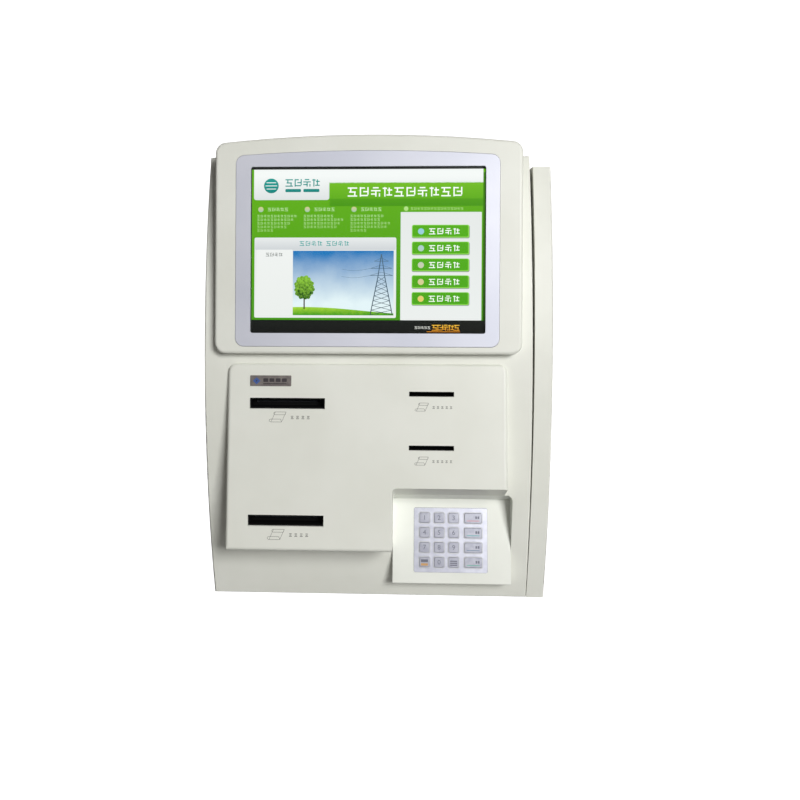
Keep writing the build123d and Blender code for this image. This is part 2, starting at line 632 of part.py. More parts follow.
def door_fascia():
    outer = bowed_block((LEFT, DOOR_RIGHT_LOW), (0, DOOR_HEIGHT), DOOR_BACK_Y)
    taper = Polyline((DOOR_RIGHT_LOW, z_at(0)), (DOOR_RIGHT_TOP, z_at(DOOR_HEIGHT)), (FAR, z_at(DOOR_HEIGHT)),
                     (FAR, z_at(0)), close=True)
    cutter = extrude(make_face(Plane.XZ * taper), FAR, both=True)
    outer -= cutter
    front_face = outer.faces().filter_by(GeomType.CYLINDER)[0]
    outer = fillet(front_face.edges(), DOOR_EDGE_RADIUS)
    hollow = bowed_block((LEFT + DOOR_WALL, DOOR_RIGHT_LOW), (DOOR_WALL, DOOR_HEIGHT - DOOR_WALL),
                         DOOR_BACK_Y - DOOR_WALL, DOOR_WALL)
    hollow -= Pos(-DOOR_WALL, 0, 0) * cutter
    rear = block((LEFT + DOOR_LIP, DOOR_RIGHT_TOP - DOOR_LIP), (DOOR_BACK_Y - 2 * DOOR_WALL, 0),
                 (DOOR_LIP, DOOR_HEIGHT - DOOR_LIP))
    skin = outer - hollow - rear
    skin -= block((SURROUND_LEFT + WINDOW_MARGIN, SURROUND_RIGHT - WINDOW_MARGIN), (-FAR, 0),
                  (SURROUND_LOW_HEIGHT + WINDOW_FOOT, DOOR_HEIGHT - DOOR_LIP))
    panel_window = (PANEL_LEFT + WINDOW_MARGIN, PANEL_RIGHT - WINDOW_MARGIN)
    skin -= block(panel_window, (-FAR, 0), (RECESS_LIP_HEIGHT, PANEL_TOP_HEIGHT - WINDOW_MARGIN))
    skin -= block((panel_window[0], KEYPAD_LEFT - WINDOW_MARGIN), (-FAR, 0),
                  (PANEL_LOW_HEIGHT + WINDOW_FOOT, RECESS_LIP_HEIGHT + 1))
    skin -= keypad_opening()
    return skin - hinge_screw_holes("door")


def keypad_opening():
    """Opening in the door's skin that the keypad housing fills, square at its foot."""
    left = KEYPAD_LEFT - KEYPAD_GAP
    right = KEYPAD_RIGHT + KEYPAD_GAP
    low = z_at(KEYPAD_LOW_HEIGHT - KEYPAD_GAP)
    high = z_at(soffit_height(soffit_meets_door()) + KEYPAD_GAP)
    outline = Polyline((left, low), (right, low), (right, high), (left, high), close=True)
    opening = extrude(make_face(Plane.XZ * outline), FAR, both=True)
    top = opening.edges().filter_by(Axis.Y).group_by(Axis.Z)[-1].sort_by(Axis.X)
    return fillet(top, RECESS_RADIUS)


def screen_surround():
    rises = (0.0, SURROUND_CORNER_RISE, SURROUND_CROWN_RISE)
    span = (SURROUND_LEFT, SURROUND_RIGHT)
    outer = crowned_slab(span, rises, SURROUND_RADIUS, (-90, 0))
    outer = fillet(outer.faces().sort_by(Axis.Z)[-1].edges(), SURROUND_EDGE_RADIUS)
    hollow = crowned_slab(span, rises, SURROUND_RADIUS, (-90, -SURROUND_WALL - TRIM_THICKNESS + TRIM_PROUD),
                          SURROUND_WALL)
    trim_rises = (TRIM_LOW, TRIM_CORNER, TRIM_CROWN)
    rebate = crowned_slab((TRIM_LEFT, TRIM_RIGHT), trim_rises, TRIM_RADIUS, (TRIM_PROUD - TRIM_THICKNESS, 5),
                          -GUIDE_CLEARANCE)
    window = crowned_slab((TRIM_LEFT, TRIM_RIGHT), trim_rises, TRIM_RADIUS, (-20, 5), TRIM_LEDGE)
    place = SCREEN_PLANE.location
    back_y = bow_y(DOOR_HEIGHT) - SURROUND_BACK_GAP
    keep = block((-FAR, FAR), (-FAR, back_y), (0, 2 * FAR)) - door_envelope()
    closing = block((-FAR, FAR), (back_y - SURROUND_WALL, back_y), (DOOR_HEIGHT - SURROUND_WALL, 2 * FAR))
    surround = place * (outer - rebate - window) - (place * hollow - closing)
    stud_top = -SURROUND_WALL - 0.5
    for x, rise in display_studs():
        middle = (display_back() + stud_top) / 2
        stud = Pos(x, rise, middle) * Cylinder(STUD_RADIUS, stud_top - display_back())
        surround += place * (stud - screw_bore(x, rise))
    return surround & keep


def screw_bore(x, rise):
    return Pos(x, rise, display_back()) * Cylinder(SCREW_RADIUS, 16)


def display_back():
    """Depth of the display's back below the surround's face."""
    return TRIM_PROUD - TRIM_THICKNESS - GLASS_THICKNESS - DISPLAY_THICKNESS - SURROUND_WALL


def display_frame_span():
    reach = DISPLAY_OVERLAP + CLAMP_BORDER
    return (OPENING_LEFT - reach, OPENING_RIGHT + reach)


def display_studs():
    """Places of the four studs beside the display, on the leaning face."""
    span = display_frame_span()
    rises = (OPENING_LOW + OPENING_TALL * 0.2, OPENING_LOW + OPENING_TALL * 0.8)
    return [(x, rise) for x in (span[0] - STUD_RADIUS - 1, span[1] + STUD_RADIUS + 1) for rise in rises]


def screen_trim():
    rises = (TRIM_LOW, TRIM_CORNER, TRIM_CROWN)
    back = TRIM_PROUD - TRIM_THICKNESS
    frame = crowned_slab((TRIM_LEFT, TRIM_RIGHT), rises, TRIM_RADIUS, (back, TRIM_PROUD))
    frame = fillet(frame.faces().sort_by(Axis.Z)[-1].edges(), 0.8)
    opening = Pos(*opening_centre(), 0) * rounded_slab(OPENING_RIGHT - OPENING_LEFT, OPENING_TALL,
                                                       OPENING_RADIUS, (-10, 10))
    return SCREEN_PLANE.location * (frame - opening)


def opening_centre():
    return ((OPENING_LEFT + OPENING_RIGHT) / 2, OPENING_LOW + OPENING_TALL / 2)


def screen_slab(overlap, thickness, front):
    """Slab behind the screen opening, larger than it by overlap all round."""
    width = OPENING_RIGHT - OPENING_LEFT + 2 * overlap
    tall = OPENING_TALL + 2 * overlap
    return Pos(*opening_centre(), 0) * rounded_slab(width, tall, 2.0, (front - thickness, front))


def touch_glass():
    front = TRIM_PROUD - TRIM_THICKNESS
    return SCREEN_PLANE.location * screen_slab(GLASS_OVERLAP, GLASS_THICKNESS, front)


def display_panel():
    front = TRIM_PROUD - TRIM_THICKNESS - GLASS_THICKNESS
    frame = screen_slab(DISPLAY_OVERLAP, DISPLAY_THICKNESS + SURROUND_WALL, front)
    ledge = screen_slab(DISPLAY_OVERLAP + 5, SURROUND_WALL + 1, front + 1)
    ledge -= screen_slab(GLASS_OVERLAP, SURROUND_WALL + 4, front + 2)
    return SCREEN_PLANE.location * (frame - ledge)


def display_clamp():
    """Pressed frame that holds the display against the surround."""
    reach = DISPLAY_OVERLAP + CLAMP_BORDER
    front = display_back()
    frame = screen_slab(reach, CLAMP_THICKNESS, front)
    for x, rise in display_studs():
        frame += Pos(x, rise, front - CLAMP_THICKNESS / 2) * Box(16, 16, CLAMP_THICKNESS)
    frame -= screen_slab(reach - CLAMP_FRAME, 3 * CLAMP_THICKNESS, front + CLAMP_THICKNESS)
    for x, rise in display_studs():
        frame -= screw_bore(x, rise)
    return SCREEN_PLANE.location * frame


def display_screws():
    """Four screws through the clamp's ears into the studs, as separate solids."""
    screws = []
    back = display_back() - CLAMP_THICKNESS
    for x, rise in display_studs():
        head = Pos(x, rise, back - SCREW_HEAD_HEIGHT / 2) * Cylinder(SCREW_HEAD_RADIUS, SCREW_HEAD_HEIGHT)
        shank = Pos(x, rise, back + 4) * Cylinder(SCREW_RADIUS, 8)
        screws.append(SCREEN_PLANE.location * (head + shank))
    return Compound(screws)


def panel_outline(offset_by, z_span):
    """Slab of the lower panel's outline, cut away over the keypad."""
    top = (PANEL_TOP_HEIGHT - PANEL_LOW_HEIGHT) / math.cos(math.radians(PANEL_LEAN))
    left = PANEL_LEFT + offset_by
    right = PANEL_RIGHT - offset_by
    low = offset_by
    high = top - offset_by
    sketch = make_face(Polyline((left, low), (right, low), (right, high), (left, high), close=True))
    sketch = fillet(sketch.vertices().group_by(Axis.Y)[-1], PANEL_RADIUS - offset_by)
    return Pos(0, 0, z_span[0]) * extrude(sketch, z_span[1] - z_span[0], dir=(0, 0, 1))


def recess_cutter(grow):
    """Space under the sloping roof and right of the panel's foot, grown by a wall."""
    front = PANEL_FRONT_Y - 40
    roof = [(front, soffit_height(front) + grow), (-60, soffit_height(-60) + grow), (-60, -50), (front, -50)]
    cutter = side_prism(roof, (KEYPAD_LEFT - grow, FAR))
    corner = cutter.edges().group_by(Axis.X)[0].sort_by(Axis.Z)[-1]
    return fillet(corner, RECESS_INNER_RADIUS + grow)


def lower_panel():
    outer = panel_outline(0.0, (-90, 0))
    outer = fillet(outer.faces().sort_by(Axis.Z)[-1].edges(), PANEL_EDGE_RADIUS)
    hollow = panel_outline(PANEL_WALL, (-90, -PANEL_WALL))
    place = PANEL_PLANE.location
    outer = place * outer - recess_cutter(0.0)
    hollow = place * hollow - recess_cutter(PANEL_WALL)
    panel = outer - hollow - door_envelope()
    for height in SLOT_HEIGHTS.values():
        panel -= slot_block(SLOT_WIDTH, SLOT_TALL, SLOT_CENTRE_X, height, (-FAR, -FAR / 4))
    for height in CARD_HEIGHTS.values():
        panel -= slot_block(CARD_WIDTH, CARD_TALL, CARD_CENTRE_X, height, (-FAR, -FAR / 4))
    return panel


def slot_block(width, tall, centre_x, height, y_span):
    return block((centre_x - width / 2, centre_x + width / 2), y_span, (height - tall / 2, height + tall / 2))


def badge_plate():
    rise = (BADGE_HEIGHT - PANEL_LOW_HEIGHT) / math.cos(math.radians(PANEL_LEAN))
    plate = rounded_slab(BADGE_WIDTH, BADGE_TALL, 1.0, (0, BADGE_THICKNESS))
    return PANEL_PLANE.location * (Pos(BADGE_CENTRE_X, rise, 0) * plate)


def panel_flange(width, tall, centre_x, height):
    """Flange that lies on the back of the lower panel around one of its slots."""
    rise = (height - PANEL_LOW_HEIGHT) / math.cos(math.radians(PANEL_LEAN))
    front = -PANEL_WALL
    slab = rounded_slab(width + 2 * MOUNT_FLANGE, tall + 2 * MOUNT_FLANGE, 2.0,
                        (front - MOUNT_FLANGE_THICKNESS, front))
    return PANEL_PLANE.location * (Pos(centre_x, rise, 0) * slab)


# ================= printers =================

def guide_front(name):
    """Y of a paper guide's mouth, just behind the highest point of its slot."""
    return face_y(PANEL_PLANE, SLOT_HEIGHTS[name] + SLOT_TALL / 2) + 0.4


def paper_guide(name):
    """Black funnel between a slot in the panel and its printer."""
    front = guide_front(name)
    height = SLOT_HEIGHTS[name]
    width = SLOT_WIDTH - 2 * GUIDE_CLEARANCE
    tall = SLOT_TALL - 2 * GUIDE_CLEARANCE
    guide = slot_block(width, tall, SLOT_CENTRE_X, height, (front, front + GUIDE_LENGTH))
    guide += panel_flange(SLOT_WIDTH, SLOT_TALL, SLOT_CENTRE_X, height)
    return guide - slot_block(width - 2 * GUIDE_WALL, tall - 2 * GUIDE_WALL, SLOT_CENTRE_X, height,
                              (front - 1, front + GUIDE_LENGTH - GUIDE_WALL)) \
        - slot_block(ROLL_WIDTH + 4, PAPER_GAP, SLOT_CENTRE_X, height, (front, front + GUIDE_LENGTH + 1))


def printer_span_x():
    half = SLOT_WIDTH / 2 + PRINTER_OVERHANG
    return (SLOT_CENTRE_X - half, SLOT_CENTRE_X + half)


def printer_rim(name):
    """Height of a printer's open top, which is also the axis of its lid's hinge."""
    return SLOT_HEIGHTS[name] + SLOT_TALL / 2 + PRINTER_RIM


def roll_centre(name):
    """Y and height of a paper roll's axis."""
    y = guide_front(name) + GUIDE_LENGTH + HEAD_DEPTH + BUCKET_DEPTH / 2
    return (y, printer_rim(name) - ROLL_RADIUS - ROLL_LID_GAP)


def printer(name):
    """Print head block with a roll bucket behind it."""
    head_y = guide_front(name) + GUIDE_LENGTH
    height = SLOT_HEIGHTS[name]
    span = printer_span_x()
    bucket_y = head_y + HEAD_DEPTH
    floor = height - PRINTER_DROP
    rim = printer_rim(name)
    body = block(span, (head_y, bucket_y), (floor, rim))
    body += block(span, (bucket_y - 1, bucket_y + BUCKET_DEPTH), (floor, rim))
    body -= block((SLOT_CENTRE_X - ROLL_WIDTH / 2 - 2, SLOT_CENTRE_X + ROLL_WIDTH / 2 + 2),
                  (bucket_y + BUCKET_WALL, bucket_y + BUCKET_DEPTH - BUCKET_WALL),
                  (floor + BUCKET_WALL, rim + 5))
    body -= slot_block(ROLL_WIDTH + 4, PAPER_GAP, SLOT_CENTRE_X, height, (head_y - 1, bucket_y + 5))
    body -= lid_barrel(name, LID_RELIEF, (span[0] + LID_EAR, span[1] - LID_EAR))
    y, axis_height = lid_axis(name)
    for ear in ((span[0], span[0] + LID_EAR), (span[1] - LID_EAR, span[1])):
        body += block(ear, (y - LID_HINGE_RADIUS, y + LID_HINGE_RADIUS),
                      (axis_height - 1, axis_height + LID_HINGE_RADIUS))
    return body + lid_barrel(name, LID_PIN_RADIUS - LID_HINGE_RADIUS, (span[0] + 1, span[1] - 1))


def lid_axis(name):
    """Y and height of a printer lid's hinge."""
    y = guide_front(name) + GUIDE_LENGTH + HEAD_DEPTH + BUCKET_DEPTH - LID_HINGE_RADIUS
    return (y, printer_rim(name))


def lid_barrel(name, grow, x_span):
    y, height = lid_axis(name)
    return along_x(LID_HINGE_RADIUS + grow, x_span, y, height)


def printer_lid(name):
    """Lid over the roll bucket, turning on the pin along the bucket's rear rim."""
    y, height = lid_axis(name)
    span = printer_span_x()
    inner = (span[0] + LID_EAR + 0.3, span[1] - LID_EAR - 0.3)
    front = guide_front(name) + GUIDE_LENGTH + HEAD_DEPTH - 6
    rim = height + LID_GAP
    lid = block(inner, (front, y), (rim, rim + LID_THICKNESS))
    lid += lid_barrel(name, 0.0, inner)
    lid += block((SLOT_CENTRE_X - 12, SLOT_CENTRE_X + 12), (front - 4, front + 1), (rim, rim + LID_THICKNESS))
    return lid - lid_barrel(name, LID_PIN_RADIUS - LID_HINGE_RADIUS + RUNNING_CLEARANCE,
                            (span[0] - 1, span[1] + 1))


def paper_roll(name):
    y, height = roll_centre(name)
    span = (SLOT_CENTRE_X - ROLL_WIDTH / 2, SLOT_CENTRE_X + ROLL_WIDTH / 2)
    roll = along_x(ROLL_RADIUS, span, y, height)
    return roll - along_x(ROLL_CORE_RADIUS, (span[0] - 1, span[1] + 1), y, height)


# ================= card readers =================

def card_reader(name):
    """Card reader whose throat fills its slot in the panel."""
    height = CARD_HEIGHTS[name]
    mouth = face_y(PANEL_PLANE, height + CARD_TALL / 2) + 0.4
    width = CARD_WIDTH - 2 * GUIDE_CLEARANCE
    tall = CARD_TALL - 2 * GUIDE_CLEARANCE
    body_y = mouth + READER_SETBACK
    reader = slot_block(READER_WIDTH, READER_TALL, CARD_CENTRE_X, height, (body_y, body_y + READER_DEPTH))
    reader = fillet(reader.edges().filter_by(Axis.Y), 2)
    reader += slot_block(width, tall, CARD_CENTRE_X, height, (mouth, body_y + 1))
    reader += panel_flange(CARD_WIDTH, CARD_TALL, CARD_CENTRE_X, height)
    return reader - slot_block(width - 2 * THROAT_WALL, tall - 2 * THROAT_WALL, CARD_CENTRE_X, height,
                               (mouth - 1, mouth + THROAT_DEPTH))


# ================= keypad =================

def keypad_housing():
    """Moulded wedge with the keypad's face, its skirts and the recess behind its top edge."""
    span = (KEYPAD_LEFT, KEYPAD_RIGHT)
    back = RECESS_BACK_Y + 12
    wedge = side_prism([(KEYPAD_FRONT_Y, KEYPAD_LOW_HEIGHT), (RECESS_BACK_Y, KEYPAD_TOP_HEIGHT),
                        (back, soffit_height(back)), (back, KEYPAD_LOW_HEIGHT)], span)
    rims = wedge.edges().group_by(Axis.Y)[0]
    wedge = fillet(rims, KEYPAD_EDGE_RADIUS)
    step = KEYPAD_WALL / math.cos(math.radians(KEYPAD_LEAN))
    low = KEYPAD_LOW_HEIGHT + KEYPAD_WALL
    high = KEYPAD_TOP_HEIGHT - KEYPAD_WALL
    inside = side_prism([(face_y(KEYPAD_PLANE, low) + step, low), (face_y(KEYPAD_PLANE, high) + step, high),
                         (back + 1, high), (back + 1, low)],
                        (span[0] + KEYPAD_WALL, span[1] - KEYPAD_WALL))
    seat = plate_place() * rounded_slab(PLATE_WIDTH + 2 * KEYPAD_GAP, PLATE_TALL + 2 * KEYPAD_GAP, 2.0,
                                        (-9, 9))
    return wedge - inside - seat + recess_sleeve(back)


def recess_sleeve(back):
    """Roof and side walls of the recess, behind the door's skin."""
    front = PANEL_FRONT_Y
    low = KEYPAD_LOW_HEIGHT
    outer = side_prism([(front, low), (front, soffit_height(front) + KEYPAD_WALL),
                        (back, soffit_height(back) + KEYPAD_WALL), (back, low)],
                       (KEYPAD_LEFT - KEYPAD_WALL, KEYPAD_RIGHT + KEYPAD_WALL))
    inner = side_prism([(front - 1, low - 1), (front - 1, soffit_height(front - 1)),
                        (back + 1, soffit_height(back + 1)), (back + 1, low - 1)],
                        (KEYPAD_LEFT, KEYPAD_RIGHT))
    behind_skin = bowed_block((-FAR, FAR), (0, DOOR_HEIGHT), 0, DOOR_WALL)
    return (outer - inner) & behind_skin


def plate_place():
    return KEYPAD_PLANE.location * Pos(PLATE_CENTRE_X, PLATE_CENTRE_RISE, 0)


def key_places():
    """Name, centre, width of every key, from the top row down."""
    names = [["1", "2", "3", "cancel"], ["4", "5", "6", "correct"],
             ["7", "8", "9", "help"], ["clear", "0", "blank", "enter"]]
    places = []
    for row, row_names in enumerate(names):
        rise = (1.5 - row) * KEY_PITCH
        for column, name in enumerate(row_names):
            wide = column == 3
            x = WIDE_KEY_COLUMN if wide else KEY_FIRST_COLUMN + column * KEY_PITCH
            places.append((name, x, rise, WIDE_KEY_SIZE if wide else KEY_SIZE))
    return places


def keypad_plate():
    plate = rounded_slab(PLATE_WIDTH, PLATE_TALL, 1.5, (PLATE_PROUD - PLATE_THICKNESS, PLATE_PROUD))
    for _, x, rise, width in key_places():
        hole_width = width + 2 * KEY_CLEARANCE
        hole_tall = KEY_SIZE + 2 * KEY_CLEARANCE
        collar = rounded_slab(hole_width + 2 * COLLAR_WIDTH, hole_tall + 2 * COLLAR_WIDTH,
                              KEY_RADIUS + COLLAR_WIDTH, (0, PLATE_PROUD + COLLAR_TALL))
        collar = fillet(collar.faces().sort_by(Axis.Z)[-1].edges(), COLLAR_TALL * 0.6)
        plate += Pos(x, rise, 0) * collar
        plate -= Pos(x, rise, 0) * rounded_slab(hole_width, hole_tall, KEY_RADIUS, (-10, 10))
    return plate_place() * plate


def key(x, rise, width):
    """Metal key with a retaining flange under the plate."""
    top = PLATE_PROUD + KEY_PROUD
    under = PLATE_PROUD - PLATE_THICKNESS - RUNNING_CLEARANCE
    cap = rounded_slab(width, KEY_SIZE, KEY_RADIUS, (under, top))
    cap = fillet(cap.faces().sort_by(Axis.Z)[-1].edges(), 0.7)
    flange = rounded_slab(width + 2 * KEY_FLANGE, KEY_SIZE + 2 * KEY_FLANGE, KEY_RADIUS,
                          (under - KEY_FLANGE_THICKNESS, under))
    return plate_place() * (Pos(x, rise, 0) * (cap + flange))


def keypad_base():
    """Switch block under the keys, with room for their travel."""
    top = PLATE_PROUD - PLATE_THICKNESS
    body = rounded_slab(PLATE_WIDTH - 2, PLATE_TALL - 2, 1.5, (top - BASE_DEPTH, top))
    pocket_depth = RUNNING_CLEARANCE + KEY_FLANGE_THICKNESS + KEY_TRAVEL + 0.5
    pocket = rounded_slab(PLATE_WIDTH - 2 - 2 * BASE_WALL, PLATE_TALL - 2 - 2 * BASE_WALL, 1.0,
                          (top - pocket_depth, top + 1))
    flange = rounded_slab(PLATE_WIDTH + 2 * BASE_FLANGE, PLATE_TALL + 2 * BASE_FLANGE, 2.0,
                          (-KEYPAD_WALL - MOUNT_FLANGE_THICKNESS, -KEYPAD_WALL))
    return plate_place() * (body + flange - pocket)


NODES = {
    "cabinet_shell": cabinet_shell,
    "upper_wall_rail": lambda: wall_rail(1),
    "lower_wall_rail": lambda: wall_rail(-1),
    "side_cheek": side_cheek,
    "door_seal": door_seal,
    "control_computer": control_computer,
    "power_supply": power_supply,
    "fan_frame": fan_frame,
    "fan_rotor": fan_rotor,
    "power_inlet": power_inlet,
    "power_rocker": power_rocker,
    "lock_barrel": lock_barrel,
    "lock_cam": lock_cam,
    "door_strike": door_strike,
    "hinge_frame_screws": lambda: hinge_screws("frame"),
    "hinge_door_screws": lambda: hinge_screws("door"),
    "door_fascia": door_fascia,
    "screen_surround": screen_surround,
    "screen_trim": screen_trim,
    "touch_glass": touch_glass,
    "display_panel": display_panel,
    "display_clamp": display_clamp,
    "display_screws": display_screws,
    "lower_panel": lower_panel,
    "badge_plate": badge_plate,
    "keypad_housing": keypad_housing,
    "keypad_plate": keypad_plate,
    "keypad_base": keypad_base,
}
for SIDE in HINGE_HEIGHTS:
    NODES[f"{SIDE}_hinge_frame_leaf"] = lambda side=SIDE: hinge_leaf("frame", side)
    NODES[f"{SIDE}_hinge_door_leaf"] = lambda side=SIDE: hinge_leaf("door", side)
    NODES[f"{SIDE}_hinge_pin"] = lambda side=SIDE: hinge_pin(side)
for NAME in SLOT_HEIGHTS:
    NODES[f"{NAME}_paper_guide"] = lambda name=NAME: paper_guide(name)
    NODES[f"{NAME}_printer"] = lambda name=NAME: printer(name)
    NODES[f"{NAME}_printer_lid"] = lambda name=NAME: printer_lid(name)
    NODES[f"{NAME}_paper_roll"] = lambda name=NAME: paper_roll(name)
for NAME in CARD_HEIGHTS:
    NODES[f"{NAME}_card_reader"] = lambda name=NAME: card_reader(name)
for NAME, KEY_X, KEY_RISE, KEY_WIDTH in key_places():
    NODES[f"key_{NAME}"] = lambda x=KEY_X, rise=KEY_RISE, width=KEY_WIDTH: key(x, rise, width)

os.makedirs("parts", exist_ok=True)
for NODE, make in NODES.items():
    export_step(make(), f"parts/{NODE}.step")
print(len(NODES), "nodes")
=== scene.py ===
"""Wall-hung payment terminal: finishes, printed marks, the welcome picture, light and camera."""
from __future__ import annotations

import json
import logging
import math
from dataclasses import dataclass, field

import bmesh
import bpy
from mathutils import Matrix, Vector


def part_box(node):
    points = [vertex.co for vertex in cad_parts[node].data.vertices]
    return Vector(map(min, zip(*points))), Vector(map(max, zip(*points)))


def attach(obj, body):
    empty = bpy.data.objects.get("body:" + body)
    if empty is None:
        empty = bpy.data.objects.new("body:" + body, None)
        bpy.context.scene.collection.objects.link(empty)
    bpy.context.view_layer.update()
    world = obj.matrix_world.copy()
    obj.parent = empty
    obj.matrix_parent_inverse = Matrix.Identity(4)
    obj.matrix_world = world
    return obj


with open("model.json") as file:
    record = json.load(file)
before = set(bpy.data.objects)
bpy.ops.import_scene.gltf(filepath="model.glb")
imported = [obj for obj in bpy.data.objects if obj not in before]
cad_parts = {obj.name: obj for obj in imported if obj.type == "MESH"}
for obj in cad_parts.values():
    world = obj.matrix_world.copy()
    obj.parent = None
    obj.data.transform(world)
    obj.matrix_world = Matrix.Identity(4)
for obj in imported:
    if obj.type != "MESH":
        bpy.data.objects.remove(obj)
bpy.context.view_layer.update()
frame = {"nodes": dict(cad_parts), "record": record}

log = logging.getLogger("terminal")

MM = 0.001
SCREEN_LEAN = 7.9
PANEL_LEAN = 11.5
KEYPAD_LEAN = 15.4


def linear_colour(hex_value: str) -> tuple[float, float, float, float]:
    """Turns an sRGB hex value to a linear colour.

    Args:
        hex_value: six hex digits with a leading hash.

    Returns:
        Linear red, green, blue and an alpha of 1.
    """
    channels = [int(hex_value[i:i + 2], 16) / 255 for i in (1, 3, 5)]
    straight = [c / 12.92 if c <= 0.04045 else ((c + 0.055) / 1.055) ** 2.4 for c in channels]
    return (straight[0], straight[1], straight[2], 1.0)


def add_node(tree: bpy.types.NodeTree, kind: str, inputs: dict | None = None, **settings) -> bpy.types.Node:
    """Adds one shader node, sets it and links it.

    Args:
        tree: the material's node tree.
        kind: the node's type name.
        inputs: socket names or numbers with the value or the output socket that each takes.
        settings: the node's own properties.

    Returns:
        The new node.
    """
    node = tree.nodes.new(kind)
    for name, value in settings.items():
        setattr(node, name, value)
    for name, value in (inputs or {}).items():
        if isinstance(value, bpy.types.NodeSocket):
            tree.links.new(value, node.inputs[name])
        else:
            node.inputs[name].default_value = value
    return node


@dataclass(frozen=True)
class SurfaceFinish:
    """A finish on a solid material: a slightly uneven colour, a fine relief and a varying sheen.

    The grain is given in millimetres, and the relief is how deep it looks. A stretch over 1
    draws the grain out along one axis, as brushing does.
    """

    name: str
    colour: str
    shade: str
    roughness: float = 0.45
    roughness_spread: float = 0.06
    metallic: float = 0.0
    grain_mm: float = 1.2
    relief_mm: float = 0.02
    cloud_mm: float = 90.0
    stretch: tuple[float, float, float] = (1.0, 1.0, 1.0)
    coat: float = 0.0
    ior: float = 1.5
    gloss: float = 0.5

    def build(self) -> bpy.types.Material:
        """Makes the material.

        Returns:
            The finished material.
        """
        material = bpy.data.materials.new(self.name)
        material.use_nodes = True
        tree = material.node_tree
        shader = tree.nodes["Principled BSDF"]
        shader.inputs["Metallic"].default_value = self.metallic
        shader.inputs["IOR"].default_value = self.ior
        shader.inputs["Coat Weight"].default_value = self.coat
        shader.inputs["Specular IOR Level"].default_value = self.gloss
        place = add_node(tree, "ShaderNodeTexCoord").outputs["Object"]
        stretched = add_node(tree, "ShaderNodeMapping", {"Vector": place, "Scale": self.stretch}).outputs[0]
        cloud = add_node(tree, "ShaderNodeTexNoise",
                         {"Vector": place, "Scale": 1 / (self.cloud_mm * MM), "Detail": 3.0})
        grain = add_node(tree, "ShaderNodeTexNoise",
                         {"Vector": stretched, "Scale": 1 / (self.grain_mm * MM), "Detail": 2.0})
        ramp = add_node(tree, "ShaderNodeMapRange",
                        {"Value": cloud.outputs["Fac"], "From Min": 0.35, "From Max": 0.65})
        blend = add_node(tree, "ShaderNodeMix", {"Factor": ramp.outputs[0]}, data_type="RGBA")
        blend.inputs[6].default_value = linear_colour(self.colour)
        blend.inputs[7].default_value = linear_colour(self.shade)
        tree.links.new(blend.outputs[2], shader.inputs["Base Color"])
        sheen = add_node(tree, "ShaderNodeMapRange",
                         {"Value": grain.outputs["Fac"], "To Min": self.roughness - self.roughness_spread,
                          "To Max": self.roughness + self.roughness_spread})
        tree.links.new(sheen.outputs[0], shader.inputs["Roughness"])
        bump = add_node(tree, "ShaderNodeBump",
                        {"Height": grain.outputs["Fac"], "Distance": self.relief_mm * MM, "Strength": 0.6})
        tree.links.new(bump.outputs[0], shader.inputs["Normal"])
        return material


@dataclass(frozen=True)
class TouchGlassFinish:
    """Clear float glass: nearly all seen through, with a faint green cast and a sharp gloss."""

    name: str = "touch_glass_clear"
    mirror_ior: float = 1.22

    def build(self) -> bpy.types.Material:
        """Makes the material.

        Returns:
            The finished material.
        """
        material = bpy.data.materials.new(self.name)
        material.use_nodes = True
        tree = material.node_tree
        tree.nodes.remove(tree.nodes["Principled BSDF"])
        place = add_node(tree, "ShaderNodeTexCoord").outputs["Object"]
        smear = add_node(tree, "ShaderNodeTexNoise", {"Vector": place, "Scale": 14.0, "Detail": 2.0})
        dull = add_node(tree, "ShaderNodeMapRange",
                        {"Value": smear.outputs["Fac"], "To Min": 0.03, "To Max": 0.09})
        clear = add_node(tree, "ShaderNodeBsdfTransparent", {"Color": (0.97, 1.0, 0.98, 1.0)})
        gloss = add_node(tree, "ShaderNodeBsdfGlossy", {"Roughness": dull.outputs[0]})
        rim = add_node(tree, "ShaderNodeFresnel", {"IOR": self.mirror_ior})
        mix = add_node(tree, "ShaderNodeMixShader",
                       {0: rim.outputs[0], 1: clear.outputs[0], 2: gloss.outputs[0]})
        tree.links.new(mix.outputs[0], tree.nodes["Material Output"].inputs["Surface"])
        return material


